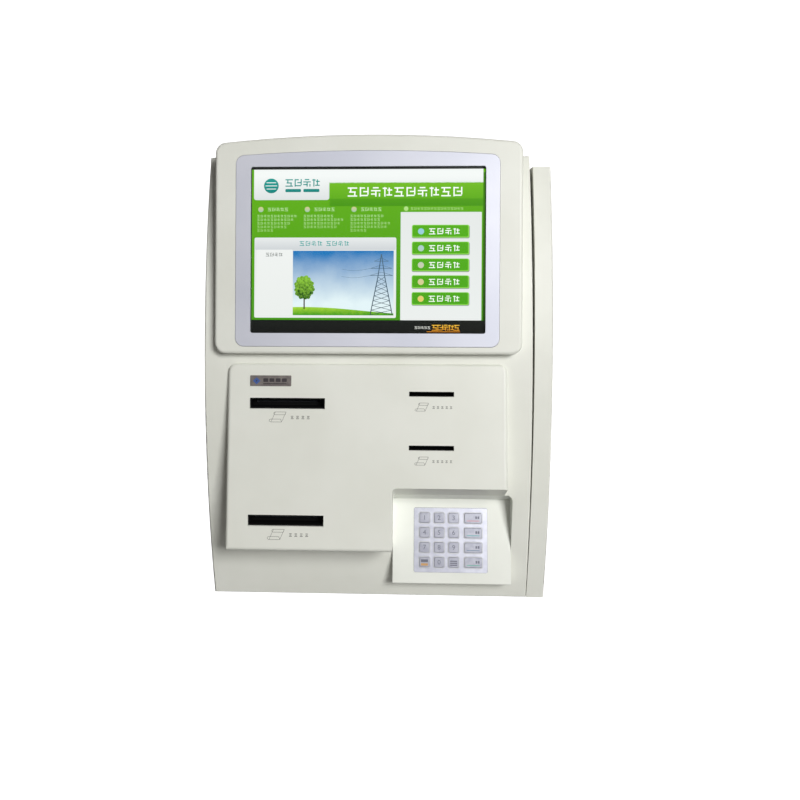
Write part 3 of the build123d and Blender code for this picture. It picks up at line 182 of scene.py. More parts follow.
@dataclass(frozen=True)
class BacklitInk:
    """A patch of the lit picture: its own light, shaded from a low colour to a high one."""

    name: str
    low: str
    high: str
    low_z: float = 0.0
    high_z: float = 1.0
    strength: float = 1.0
    mottle: float = 0.0
    mottle_mm: float = 6.0

    def build(self) -> bpy.types.Material:
        """Makes the material.

        Returns:
            The finished material.
        """
        material = bpy.data.materials.new(self.name)
        material.use_nodes = True
        tree = material.node_tree
        shader = tree.nodes["Principled BSDF"]
        shader.inputs["Base Color"].default_value = (0.004, 0.004, 0.004, 1.0)
        shader.inputs["Roughness"].default_value = 0.5
        shader.inputs["Specular IOR Level"].default_value = 0.04
        shader.inputs["Emission Strength"].default_value = self.strength
        place = add_node(tree, "ShaderNodeTexCoord").outputs["Object"]
        height = add_node(tree, "ShaderNodeSeparateXYZ", {"Vector": place}).outputs["Z"]
        rise = add_node(tree, "ShaderNodeMapRange",
                        {"Value": height, "From Min": self.low_z, "From Max": self.high_z}).outputs[0]
        speck = add_node(tree, "ShaderNodeTexNoise",
                         {"Vector": place, "Scale": 1 / (self.mottle_mm * MM), "Detail": 4.0}).outputs["Fac"]
        shift = add_node(tree, "ShaderNodeMath", {0: speck, 1: 0.5}, operation="SUBTRACT").outputs[0]
        wander = add_node(tree, "ShaderNodeMath", {0: shift, 1: self.mottle * 3, 2: rise},
                          operation="MULTIPLY_ADD").outputs[0]
        blend = add_node(tree, "ShaderNodeMix", {"Factor": wander}, data_type="RGBA")
        blend.inputs[6].default_value = linear_colour(self.low)
        blend.inputs[7].default_value = linear_colour(self.high)
        tree.links.new(blend.outputs[2], shader.inputs["Emission Color"])
        return material


FINISHES = {
    # Textured polyester powder coat on folded steel: warm off-white, low sheen, fine orange peel.
    "ivory_powder_coat": SurfaceFinish("ivory_powder_coat", "#e6e7df", "#e1e2d9", 0.42, 0.05, 0.0, 1.1, 0.02),
    # Injection-moulded ABS: a little paler and smoother than the coat, with a spark-eroded grain.
    "ivory_moulding": SurfaceFinish("ivory_moulded_abs", "#eef0e9", "#e9ebe3", 0.36, 0.05, 0.0, 0.8, 0.015),
    # Two-pack silver paint: fine flake that reads as a soft cold metal.
    "silver_paint": SurfaceFinish("silver_flake_paint", "#c6c7d0", "#bcbec9", 0.55, 0.06, 0.5, 0.5, 0.008,
                                  140.0),
    # Moulded black ABS round the display.
    "display_body": SurfaceFinish("black_display_abs", "#0a0b0b", "#111212", 0.5, 0.06, 0.0, 0.8, 0.02),
    # Bright zinc plate: a faint blue passivation and a cloudy lustre.
    "zinc_steel": SurfaceFinish("bright_zinc_plate", "#a7abb0", "#8f949b", 0.34, 0.1, 1.0, 2.5, 0.01, 12.0),
    # Stainless sheet brushed across, under clear lacquer.
    "key_steel": SurfaceFinish("brushed_stainless", "#bfc0ca", "#b2b3bf", 0.36, 0.08, 0.85, 0.35, 0.012, 9.0,
                               (0.06, 1.0, 1.0)),
    # Etched nameplate stock: a warm grey bronze, brushed across.
    "badge_metal": SurfaceFinish("etched_bronze_plate", "#7b7470", "#67615f", 0.4, 0.08, 0.6, 0.35, 0.01, 8.0,
                                 (0.06, 1.0, 1.0)),
    # Moulded black ABS of the guides, readers, fan and inlet.
    "black_plastic": SurfaceFinish("black_moulded_abs", "#030303", "#060606", 0.72, 0.06, 0.0, 0.9, 0.02,
                                   gloss=0.12),
    # Grey ABS of the printer bodies.
    "grey_plastic": SurfaceFinish("grey_moulded_abs", "#73777a", "#6b6f72", 0.48, 0.06, 0.0, 0.9, 0.02),
    # Smoked polycarbonate, polished.
    "smoke_lid": SurfaceFinish("smoked_polycarbonate", "#2b3036", "#22272c", 0.16, 0.03, 0.0, 3.0, 0.004,
                               40.0, coat=0.4),
    # Thermal paper, wound: bright, slightly blue, with the edges of its turns.
    "paper": SurfaceFinish("thermal_paper", "#eef0f1", "#e2e5e6", 0.7, 0.08, 0.0, 0.5, 0.03, 15.0,
                           (0.02, 1.0, 1.0)),
    # Black anodised extrusion of the computer's heat-sink case.
    "black_aluminium": SurfaceFinish("black_anodised_aluminium", "#1b1c1f", "#141518", 0.42, 0.07, 0.6, 0.6,
                                     0.02),
    # Chromed zinc casting of the lock.
    "chrome": SurfaceFinish("bright_chrome", "#cfd1d4", "#c2c5c9", 0.12, 0.04, 1.0, 4.0, 0.004, 20.0),
    # Closed-cell foam strip with its open skin.
    "foam_rubber": SurfaceFinish("closed_cell_foam", "#161616", "#1f1f1f", 0.85, 0.08, 0.0, 0.7, 0.12),
    # Gloss red ABS rocker.
    "rocker_red": SurfaceFinish("gloss_red_abs", "#b3140f", "#a5110d", 0.22, 0.04, 0.0, 1.5, 0.005),
}


@dataclass
class LeaningFace:
    """A flat face that leans back: places on it are millimetres across and up from its corner."""

    corner: Vector
    lean: float

    @property
    def up(self) -> Vector:
        """Direction up the face."""
        angle = math.radians(self.lean)
        return Vector((0, math.sin(angle), math.cos(angle)))

    @property
    def outward(self) -> Vector:
        """Direction out of the face."""
        angle = math.radians(self.lean)
        return Vector((0, -math.cos(angle), math.sin(angle)))

    def matrix(self, x: float = 0.0, rise: float = 0.0, lift: float = 0.0) -> Matrix:
        """Gives the placement of a shape drawn in metres at a spot on the face.

        Args:
            x: millimetres across from the corner.
            rise: millimetres up the face.
            lift: millimetres out of the face.

        Returns:
            A matrix whose axes are across, up and out.
        """
        spot = self.corner + Vector((x * MM, 0, 0)) + self.up * rise * MM + self.outward * lift * MM
        axes = Matrix((Vector((1, 0, 0)), self.up, self.outward)).transposed()
        return Matrix.Translation(spot) @ axes.to_4x4()


def front_height(node: str, lean: float) -> float:
    """Finds how far out a node reaches along a leaning direction.

    Args:
        node: the node's name.
        lean: degrees that the face leans back.

    Returns:
        The largest distance along the outward direction, in metres.
    """
    outward = LeaningFace(Vector(), lean).outward
    return max(v.co.dot(outward) for v in frame["nodes"][node].data.vertices)


def face_of(node: str, lean: float, x: float, z: float) -> LeaningFace:
    """Gives the front face of a node with its corner at a chosen X and Z.

    Args:
        node: the node whose front face it is.
        lean: degrees that the face leans back.
        x: X of the corner, in metres.
        z: Z of the corner, in metres.

    Returns:
        The face.
    """
    outward = LeaningFace(Vector(), lean).outward
    reach = front_height(node, lean)
    y = (reach - z * outward.z) / outward.y
    return LeaningFace(Vector((x, y, z)), lean)


def key_top(node: str) -> Vector:
    """Centre of a key's top face.

    Args:
        node: the key's name.

    Returns:
        The centre, in metres.
    """
    outward = LeaningFace(Vector(), KEYPAD_LEAN).outward
    reach = front_height(node, KEYPAD_LEAN)
    top = [v.co for v in frame["nodes"][node].data.vertices if v.co.dot(outward) > reach - 0.05 * MM]
    low = Vector([min(p[i] for p in top) for i in range(3)])
    high = Vector([max(p[i] for p in top) for i in range(3)])
    return (low + high) / 2


@dataclass
class Shape:
    """One mesh piece that gathers plates, strokes and other flat forms in the same finish."""

    name: str
    material: bpy.types.Material
    mesh: bmesh.types.BMesh = field(default_factory=bmesh.new)

    def plate(self, place: Matrix, width: float, tall: float, thick: float, radius: float = 0.0) -> None:
        """Adds a slab with rounded corners, its corner at the placement's origin.

        Args:
            place: where its lower left back corner lies, with axes across, up and out.
            width: millimetres across.
            tall: millimetres up.
            thick: millimetres out.
            radius: millimetres of corner radius.
        """
        part = bmesh.new()
        bmesh.ops.create_grid(part, x_segments=1, y_segments=1, size=0.5)
        bmesh.ops.scale(part, vec=(width * MM, tall * MM, 1), verts=part.verts)
        bmesh.ops.translate(part, vec=(width * MM / 2, tall * MM / 2, 0), verts=part.verts)
        if radius > 0:
            bmesh.ops.bevel(part, geom=part.verts[:], offset=radius * MM, affect="VERTICES", segments=5,
                            profile=0.5, material=-1)
        self._thicken(part, thick)
        self._take(part, place)

    def disc(self, place: Matrix, radius: float, thick: float, segments: int = 32) -> None:
        """Adds a round slab centred on the placement.

        Args:
            place: where its centre lies.
            radius: millimetres.
            thick: millimetres out.
            segments: sides of the outline.
        """
        part = bmesh.new()
        bmesh.ops.create_circle(part, cap_ends=True, segments=segments, radius=radius * MM)
        self._thicken(part, thick)
        self._take(part, place)

    def ring(self, place: Matrix, half_wide: float, half_tall: float, band: float, thick: float,
             radius: float) -> None:
        """Adds a flat rounded frame centred on the placement.

        Args:
            place: where its centre lies.
            half_wide: millimetres from the centre to the inside of a side.
            half_tall: millimetres from the centre to the inside of the top.
            band: millimetres of the frame's width.
            thick: millimetres out.
            radius: millimetres of the inside corners.
        """
        part = bmesh.new()
        bmesh.ops.create_grid(part, x_segments=1, y_segments=1, size=1.0)
        size = (half_wide + band, half_tall + band)
        bmesh.ops.scale(part, vec=(size[0] * MM, size[1] * MM, 1), verts=part.verts)
        bmesh.ops.bevel(part, geom=part.verts[:], offset=(radius + band) * MM, affect="VERTICES", segments=5,
                        profile=0.5, material=-1)
        inset = bmesh.ops.inset_region(part, faces=part.faces[:], thickness=band * MM, use_boundary=True,
                                       use_even_offset=True)
        middle = [f for f in part.faces if f not in set(inset["faces"])]
        bmesh.ops.delete(part, geom=middle, context="FACES")
        self._thicken(part, thick)
        self._take(part, place)

    def stroke(self, face: LeaningFace, start: tuple[float, float], end: tuple[float, float],
               width: float, lift: float, thick: float) -> None:
        """Adds a straight printed line.

        Args:
            face: the face it lies on.
            start: millimetres across and up of one end.
            end: millimetres across and up of the other end.
            width: millimetres.
            lift: millimetres out of the face.
            thick: millimetres.
        """
        run = Vector((end[0] - start[0], end[1] - start[1], 0))
        turn = Matrix.Rotation(math.atan2(run.y, run.x), 4, "Z")
        place = face.matrix(start[0], start[1], lift) @ turn @ Matrix.Translation((0, -width * MM / 2, 0))
        self.plate(place, max(run.length, 0.01), width, thick)

    def polyline(self, face: LeaningFace, points: list[tuple[float, float]], width: float, lift: float,
                 thick: float) -> None:
        """Adds printed lines from point to point.

        Args:
            face: the face they lie on.
            points: millimetres across and up, in order.
            width: millimetres.
            lift: millimetres out of the face.
            thick: millimetres.
        """
        for start, end in zip(points, points[1:]):
            self.stroke(face, start, end, width, lift, thick)

    def outline(self, face: LeaningFace, points: list[tuple[float, float]], lift: float,
                thick: float) -> None:
        """Adds a slab with a drawn outline.

        Args:
            face: the face it lies on.
            points: millimetres across and up, counter-clockwise.
            lift: millimetres out of the face.
            thick: millimetres.
        """
        part = bmesh.new()
        corners = [part.verts.new((x * MM, y * MM, 0)) for x, y in points]
        part.faces.new(corners)
        self._thicken(part, thick)
        self._take(part, face.matrix(0, 0, lift))

    def _thicken(self, part: bmesh.types.BMesh, thick: float) -> None:
        """Gives a flat form its thickness."""
        bmesh.ops.recalc_face_normals(part, faces=part.faces)
        if part.faces[:] and part.faces[:][0].normal.z < 0:
            bmesh.ops.reverse_faces(part, faces=part.faces)
        grown = bmesh.ops.extrude_face_region(part, geom=part.faces[:])
        top = [item for item in grown["geom"] if isinstance(item, bmesh.types.BMVert)]
        bmesh.ops.translate(part, vec=(0, 0, thick * MM), verts=top)
        bmesh.ops.recalc_face_normals(part, faces=part.faces)

    def _take(self, part: bmesh.types.BMesh, place: Matrix) -> None:
        """Adds a finished form to the piece."""
        bmesh.ops.transform(part, matrix=place, verts=part.verts)
        gathered = bpy.data.meshes.new("gathered")
        part.to_mesh(gathered)
        part.free()
        self.mesh.from_mesh(gathered)
        bpy.data.meshes.remove(gathered)

    def finish(self, body: str, slot: str) -> bpy.types.Object:
        """Makes the piece an object that rides its body.

        Args:
            body: the CAD body it rides.
            slot: the name of one of the record's material slots; not used.

        Returns:
            The object.
        """
        data = bpy.data.meshes.new(self.name)
        self.mesh.to_mesh(data)
        self.mesh.free()
        data.materials.append(self.material)
        piece = bpy.data.objects.new(self.name, data)
        bpy.context.scene.collection.objects.link(piece)
        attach(piece, body)
        log.info("%s: %d faces", self.name, len(data.polygons))
        return piece


# The turn from one tuft of the tree to the next, which spreads them evenly.
GOLDEN_ANGLE = 2.39996

# Strokes of the blocks that stand for words, as shares of a block's side: left, right, foot, head.
STROKE_BLOCKS = (
    ((0.0, 1.0, 0.0, 0.0), (0.15, 0.85, 0.42, 0.0), (0.0, 1.0, 0.84, 0.0), (0.25, 0.0, 0.42, 0.9),
     (0.68, 0.0, 0.05, 0.5)),
    ((0.04, 0.0, 0.0, 1.0), (0.84, 0.0, 0.2, 1.0), (0.04, 0.6, 0.84, 0.0), (0.4, 0.95, 0.46, 0.0),
     (0.1, 0.9, 0.05, 0.0)),
    ((0.2, 0.8, 0.86, 0.0), (0.0, 1.0, 0.55, 0.0), (0.0, 0.6, 0.2, 0.0), (0.44, 0.0, 0.0, 0.6),
     (0.82, 0.0, 0.0, 0.35)),
    ((0.0, 0.45, 0.8, 0.0), (0.16, 0.0, 0.0, 1.0), (0.5, 1.0, 0.62, 0.0), (0.62, 0.0, 0.1, 0.95),
     (0.4, 1.0, 0.1, 0.0)),
)


@dataclass
class WelcomePicture:
    """The lit picture behind the touch glass, in millimetres from the opening's lower left corner."""

    glass_overlap: float = 5.0
    glass_thickness: float = 3.0
    width: float = 297.5
    tall: float = 211.0
    border: float = 3.2
    strip: float = 17.0
    layer: float = 0.08
    film: float = 0.05
    stroke_share: float = 0.14
    rim: float = 0.6
    head_rise: float = 208.4

    def __post_init__(self) -> None:
        """Finds the picture's plane from the touch glass."""
        low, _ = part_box("touch_glass")
        drop = self.glass_thickness * MM * math.sin(math.radians(SCREEN_LEAN))
        corner = Vector((low.x, low.y, low.z + drop))
        glass = LeaningFace(corner, SCREEN_LEAN)
        inset = glass.matrix(self.glass_overlap, self.glass_overlap, -self.glass_thickness)
        self.face = LeaningFace(inset.translation, SCREEN_LEAN)
        self.bottom_z = self.face.corner.z
        self.z_per_mm = math.cos(math.radians(SCREEN_LEAN)) * MM

    def ink(self, name: str, low: str, high: str, span: tuple[float, float], strength: float = 1.0,
            mottle: float = 0.0, mottle_mm: float = 6.0) -> Shape:
        """Starts a patch in a backlit ink.

        Args:
            name: the patch's name.
            low: colour at the foot.
            high: colour at the head.
            span: millimetres up of the foot and the head.
            strength: how bright it is.
            mottle: how uneven it is.
            mottle_mm: size of the unevenness.

        Returns:
            An empty shape in that ink.
        """
        low_z = self.bottom_z + span[0] * self.z_per_mm
        high_z = self.bottom_z + span[1] * self.z_per_mm
        ink = BacklitInk(f"backlit_{name}", low, high, low_z, high_z, strength, mottle, mottle_mm)
        return Shape(f"picture_{name}", ink.build())

    def area(self, shape: Shape, x: tuple[float, float], rise: tuple[float, float], level: int,
             radius: float = 0.0) -> None:
        """Adds a rounded area to a patch.

        Args:
            shape: the patch.
            x: millimetres across of its sides.
            rise: millimetres up of its foot and head.
            level: its place in the stack of layers.
            radius: millimetres of corner radius.
        """
        place = self.face.matrix(x[0], rise[0], level * self.layer)
        shape.plate(place, x[1] - x[0], rise[1] - rise[0], self.film, radius)

    def bars(self, shape: Shape, x: float, rise: float, widths: list[float], tall: float, gap: float,
             level: int) -> None:
        """Adds a row of plain bars in the place of words.

        Args:
            shape: the patch.
            x: millimetres across of the first bar.
            rise: millimetres up of the row's foot.
            widths: the bars' widths.
            tall: the bars' height.
            gap: space between bars.
            level: its place in the stack of layers.
        """
        for width in widths:
            self.area(shape, (x, x + width), (rise, rise + tall), level, min(tall, width) * 0.3)
            x += width + gap

    def blocks(self, shape: Shape, x: float, rise: float, count: int, size: float, pitch: float,
               level: int) -> None:
        """Adds a row of meaningless stroke blocks in the place of words.

        Args:
            shape: the patch.
            x: millimetres across of the first block.
            rise: millimetres up of the row's foot.
            count: number of blocks.
            size: side of a block in millimetres.
            pitch: millimetres from block to block.
            level: its place in the stack of layers.
        """
        weight = self.stroke_share * size
        for index in range(count):
            left = x + index * pitch
            for x0, x1, y0, y1 in STROKE_BLOCKS[index % len(STROKE_BLOCKS)]:
                across = (left + x0 * size, left + max(x1 * size, x0 * size + weight))
                upward = (rise + y0 * size, rise + max(y1 * size, y0 * size + weight))
                self.area(shape, across, upward, level)

    def build(self) -> None:
        """Builds every patch of the picture."""
        right = self.width - self.border
        self.frame_patches(right)
        self.header(right)
        self.columns()
        self.landscape()
        self.buttons()

    def frame_patches(self, right: float) -> None:
        """Builds the dark strip, the green ground and the white panels."""
        ground = self.ink("green_ground", "#459608", "#60ae10", (self.strip, 170.0))
        self.area(ground, (self.rim, self.width - self.rim), (self.strip, self.head_rise), 1)
        ground.finish("door", "display_body")
        strip = self.ink("dark_strip", "#060806", "#101410", (0.0, self.strip))
        self.area(strip, (self.rim, self.width - self.rim), (0.5, self.strip), 1)
        strip.finish("door", "display_body")
        line = self.ink("strip_words", "#d8d8d2", "#efefe9", (0.0, self.strip))
        self.blocks(line, 208.6, 6.0, 5, 3.4, 4.1, 3)
        line.finish("door", "display_body")
        number = self.ink("strip_number", "#e08a12", "#ffc63a", (3.0, 12.0))
        self.blocks(number, 230.4, 4.0, 5, 7.4, 6.9, 3)
        self.area(number, (224.0, 266.0), (2.2, 3.0), 3, 0.4)
        number.finish("door", "display_body")
        rim = self.ink("green_rim", "#1d4a04", "#3f7f10", (0.0, 207.0))
        self.area(rim, (right, self.width - self.rim), (self.strip, 204.0), 2)
        rim.finish("door", "display_body")
        panel = self.ink("white_panel", "#eff0f0", "#eaebeb", (self.strip, 150.0))
        self.area(panel, (190.4, 292.6), (self.strip, 154.0), 3, 0.8)
        self.area(panel, (4.2, 185.0), (19.8, 121.8), 3, 2.0)
        panel.finish("door", "display_body")
        band = self.ink("grey_band", "#d3d5da", "#e9eaec", (106.0, 120.0))
        self.area(band, (5.0, 184.2), (106.0, 120.6), 4, 1.6)
        band.finish("door", "display_body")
        cell = self.ink("white_cell", "#fafbfa", "#ffffff", (20.0, 110.0), 0.9)
        self.area(cell, (7.2, 52.9), (22.0, 106.4), 5, 0.6)
        cell.finish("door", "display_body")
        label = self.ink("teal_label", "#2f9f9c", "#3fa9a4", (108.0, 118.0))
        self.blocks(label, 62.0, 111.2, 4, 6.0, 7.6, 6)
        self.blocks(label, 96.0, 111.2, 4, 6.0, 7.6, 6)
        label.finish("door", "display_body")
        caption = self.ink("grey_caption", "#6f7472", "#7e8381", (96.0, 104.0))
        self.blocks(caption, 18.8, 97.8, 4, 4.6, 5.6, 6)
        caption.finish("door", "display_body")

    def header(self, right: float) -> None:
        """Builds the white head, the emblem's block and the green title bar."""
        head = self.ink("white_head", "#e2e4e6", "#fbfcfc", (167.0, 200.0), 0.98)
        self.area(head, (self.border, right), (191.0, self.head_rise), 2)
        self.area(head, (self.border, 99.5), (169.6, 196.0), 3, 3.0)
        head.finish("door", "display_body")
        title = self.ink("title_bar", "#58a80d", "#74bd1e", (163.0, 192.0))
        self.area(title, (99.0, right), (161.5, 192.0), 2, 1.5)
        title.finish("door", "display_body")
        shade = self.ink("title_shade", "#469407", "#52a00c", (161.0, 172.0))
        self.area(shade, (100.5, right), (161.8, 171.0), 4)
        shade.finish("door", "display_body")
        words = self.ink("title_words", "#f4fbef", "#ffffff", (170.0, 190.0), 1.05)
        self.blocks(words, 123.0, 173.6, 10, 12.0, 14.8, 6)
        words.finish("door", "display_body")
        aside = self.ink("title_aside", "#a9dc74", "#bfe694", (150.0, 165.0))
        self.blocks(aside, 203.0, 156.6, 16, 3.3, 4.2, 6)
        aside.disc(self.face.matrix(197.2, 158.2, 6 * self.layer), 2.9, self.film, 20)
        aside.finish("door", "display_body")
        emblem = self.ink("emblem", "#0b7f79", "#1b9a92", (176.0, 196.0))
        emblem.disc(self.face.matrix(25.4, 187.6, 5 * self.layer), 9.4, self.film, 40)
        self.blocks(emblem, 43.4, 186.6, 4, 9.6, 11.4, 5)
        self.bars(emblem, 43.4, 179.6, [20.0, 20.5], 4.0, 3.0, 5)
        emblem.finish("door", "display_body")
        slots = self.ink("emblem_bands", "#dcefee", "#eef8f7", (176.0, 196.0))
        for offset, half in ((-4.0, 6.2), (0.0, 7.6), (4.0, 6.2)):
            self.area(slots, (25.4 - half, 25.4 + half), (187.1 + offset, 188.2 + offset), 6, 0.5)
        slots.finish("door", "display_body")

    def columns(self) -> None:
        """Builds the three short notes on the green ground."""
        notes = self.ink("note_lines", "#a8d878", "#cdeeb0", (124.0, 165.0))
        badges = self.ink("note_badges", "#7cc4c0", "#f2d36b", (150.0, 166.0))
        for column in range(3):
            x = 10.5 + column * 59.5
            badges.disc(self.face.matrix(x + 1.6, 157.6, 4 * self.layer), 3.4, self.film, 20)
            self.blocks(notes, x + 10.5, 155.4, 5, 4.4, 5.4, 3)
            for line in range(5 - column % 2):
                count = 12 - (line * 5 + column * 3) % 4 if line < 4 else 5
                self.blocks(notes, x - 3.0, 147.6 - line * 4.6, count, 3.1, 4.3, 3)
        notes.finish("door", "display_body")
        badges.finish("door", "display_body")

    def landscape(self) -> None:
        """Builds the small landscape: sky, hill, tree and pylon."""
        left, right, low, high = 53.6, 181.8, 23.0, 105.0
        sky = self.ink("sky", "#e8f6fb", "#1f78bd", (low + 14.0, high), 1.0, 0.12, 24.0)
        self.area(sky, (left, right), (low, high), 5)
        sky.finish("door", "display_body")
        self.hill(left, right, low)
        self.tree(left + 14.6, low + 16.0)
        self.pylon(right - 15.5, low + 0.6)

    def hill(self, left: float, right: float, low: float) -> None:
        """Builds the grassy hill, a low curve across the landscape.

        Args:
            left: millimetres across of the landscape's left side.
            right: millimetres across of its right side.
            low: millimetres up of its foot.
        """
        grass = self.ink("grass", "#3f9a12", "#a9d93a", (low, low + 11.0), 1.0, 0.2, 5.0)
        steps = 24
        crest = []
        for index in range(steps + 1):
            share = index / steps
            rise = low + 2.0 + 8.5 * math.sin(math.pi * (0.05 + 0.5 * share)) ** 1.5
            crest.append((right - (right - left) * share, rise))
        grass.outline(self.face, [(left, low), (right, low)] + crest, 6 * self.layer, self.film)
        grass.finish("door", "display_body")

    def tree(self, x: float, foot: float) -> None:
        """Builds the tree: a short trunk and a crown of overlapping tufts.

        Args:
            x: millimetres across of the trunk.
            foot: millimetres up of its foot.
        """
        bark = self.ink("bark", "#3a2a17", "#4a3920", (foot - 6.0, foot + 8.0))
        self.area(bark, (x - 0.8, x + 0.8), (foot - 8.0, foot + 10.0), 8)
        bark.finish("door", "display_body")
        leaves = self.ink("leaves", "#174d0c", "#8fc83c", (foot, foot + 36.0), 1.0, 0.75, 2.4)
        tufts, half_wide, half_tall, tuft_radius = 70, 11.4, 14.0, 2.5
        middle = foot + 19.0
        for index in range(tufts):
            angle = index * GOLDEN_ANGLE
            reach = math.sqrt((index + 0.5) / tufts)
            spot = (x + half_wide * reach * math.cos(angle), middle + half_tall * reach * math.sin(angle))
            level = 9 + index % 5
            leaves.disc(self.face.matrix(spot[0], spot[1], level * self.layer), tuft_radius, self.film, 12)
        leaves.finish("door", "display_body")

    def pylon(self, x: float, foot: float) -> None:
        """Builds the lattice pylon with its wires.

        Args:
            x: millimetres across of its centre line.
            foot: millimetres up of its foot.
        """
        waist_rise, head_rise = 48.0, 77.0
        steel = self.ink("pylon", "#2b3a45", "#4f6b80", (foot, foot + head_rise))
        lift = 15 * self.layer
        foot_half, waist_half, bays = 14.0, 4.4, 8
        waist = foot + waist_rise
        head = foot + head_rise
        for side in (-1, 1):
            leg = [(x + side * foot_half, foot), (x + side * waist_half, waist), (x, head)]
            steel.polyline(self.face, leg, 1.1, lift, self.film)
        for level in range(bays):
            share = level / bays
            after_share = (level + 1) / bays
            span = foot_half - (foot_half - waist_half) * share
            after = foot_half - (foot_half - waist_half) * after_share
            rise = foot + waist_rise * share
            top = foot + waist_rise * after_share
            steel.stroke(self.face, (x - span, rise), (x + after, top), 0.6, lift, self.film)
            steel.stroke(self.face, (x + span, rise), (x - after, top), 0.6, lift, self.film)
        for rise, half in ((waist + 2.0, 14.5), (waist + 11.0, 13.5), (waist + 20.0, 9.0)):
            steel.stroke(self.face, (x - half, rise), (x + half, rise), 0.6, lift, self.film)
            steel.stroke(self.face, (x - half, rise), (x, rise + 4.0), 0.4, lift, self.film)
            steel.stroke(self.face, (x + half, rise), (x, rise + 4.0), 0.4, lift, self.film)
        for rise, half in ((waist + 2.0, 14.5), (waist + 11.0, 13.5)):
            points = [(x - half - step * 6.0, rise - 3.0 * math.sin(step * 0.45)) for step in range(7)]
            steel.polyline(self.face, points, 0.25, lift, self.film)
        steel.finish("door", "display_body")

    def buttons(self) -> None:
        """Builds the five raised choices at the right, each with a badge and a row of stroke blocks."""
        shade = self.ink("choice_shades", "#9aa39a", "#8f9a90", (30.0, 140.0))
        rim = self.ink("choice_rims", "#86d344", "#92dc52", (30.0, 140.0))
        faces = self.ink("choice_faces", "#4aa50c", "#55ae10", (30.0, 140.0))
        words = self.ink("choice_words", "#f6fdf0", "#ffffff", (30.0, 140.0), 1.05)
        marks = self.ink("choice_badges", "#f2cf4a", "#8fd0e8", (30.0, 140.0))
        for index in range(5):
            rise = 36.4 + index * 21.3
            self.area(shade, (204.6, 277.6), (rise - 1.0, rise + 15.6), 4, 2.2)
            self.area(rim, (204.8, 276.9), (rise, rise + 16.2), 5, 2.0)
            self.area(faces, (205.6, 275.6), (rise + 1.2, rise + 15.4), 6, 1.6)
            self.blocks(words, 226.4, rise + 4.0, 4, 7.8, 10.2, 8)
            marks.disc(self.face.matrix(216.2, rise + 7.8, 8 * self.layer), 3.9, self.film, 20)
        for shape in (shade, rim, faces, words, marks):
            shape.finish("door", "display_body")


@dataclass
class PrintedMarks:
    """Plain pictograms printed on the lower panel: a paper scroll under each slot, with bars beside it."""

    line: float = 0.45
    film: float = 0.05
    lift: float = 0.02
    scroll_width: float = 24.0
    scroll_tall: float = 15.5

    def build(self) -> None:
        """Prints the marks."""
        ink = SurfaceFinish("pad_printed_grey_ink", "#6d6b66", "#7a7872", 0.6, 0.05, 0.0, 0.6, 0.005)
        lines = Shape("printed_pictograms", ink.build())
        dark = SurfaceFinish("pad_printed_black_ink", "#2b2a28", "#35342f", 0.6, 0.05, 0.0, 0.6, 0.005)
        words = Shape("printed_bars", dark.build())
        for node in ("invoice_paper_guide", "receipt_paper_guide"):
            low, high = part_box(node)
            self.scroll(lines, words, low.x + 30.5 * MM, (low.z + high.z) / 2 - 24.6 * MM, 1.06, 4)
        for node in ("upper_card_reader", "lower_card_reader"):
            low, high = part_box(node)
            self.scroll(lines, words, (low.x + high.x) / 2 - 22.5 * MM, (low.z + high.z) / 2 - 22.5 * MM,
                        0.85, 5)
        lines.finish("door", "badge_metal")
        words.finish("door", "badge_metal")

    def scroll(self, lines: Shape, words: Shape, x: float, z: float, size: float, count: int) -> None:
        """Draws one scroll of paper, leaning to the right with curled ends, and its bars.

        Args:
            lines: the shape that takes the outline.
            words: the shape that takes the bars.
            x: X of the scroll's foot, in metres.
            z: Z of the scroll's foot, in metres.
            size: scale of the drawing.
            count: number of bars beside it.
        """
        face = face_of("lower_panel", PANEL_LEAN, x, z)
        w, t = self.scroll_width * size, self.scroll_tall * size
        slant = 0.22 * w
        body = [(0.16 * w, 0.12 * t), (0.70 * w, 0.12 * t), (0.70 * w + slant, 0.9 * t),
                (0.16 * w + slant, 0.9 * t), (0.16 * w, 0.12 * t)]
        lines.polyline(face, body, self.line, self.lift, self.film)
        curls = (((0.16 * w, 0.12 * t), (0.70 * w, 0.12 * t), -1), ((0.16 * w + slant, 0.9 * t),
                                                                    (0.70 * w + slant, 0.9 * t), 1))
        for start, end, way in curls:
            drop = 0.11 * t
            ring = [(start[0] - 0.10 * w * math.sin(a) * 0.9, start[1] + way * drop * (1 - math.cos(a)) * -1)
                    for a in (0.0, 0.8, 1.6, 2.4, 3.14)]
            lines.polyline(face, ring, self.line, self.lift, self.film)
            lines.stroke(face, ring[-1], (end[0] - 0.05 * w, ring[-1][1]), self.line, self.lift, self.film)
            lines.stroke(face, (end[0] - 0.05 * w, ring[-1][1]), end, self.line, self.lift, self.film)
        for index in range(count):
            left = 1.16 * w + index * 6.5 * size
            for stroke, wide in enumerate((3.4, 2.4, 3.0)):
                place = face.matrix(left + (3.4 - wide) / 2 * size, 0.36 * t + stroke * 1.5 * size, self.lift)
                words.plate(place, wide * size, 0.65 * size, self.film)


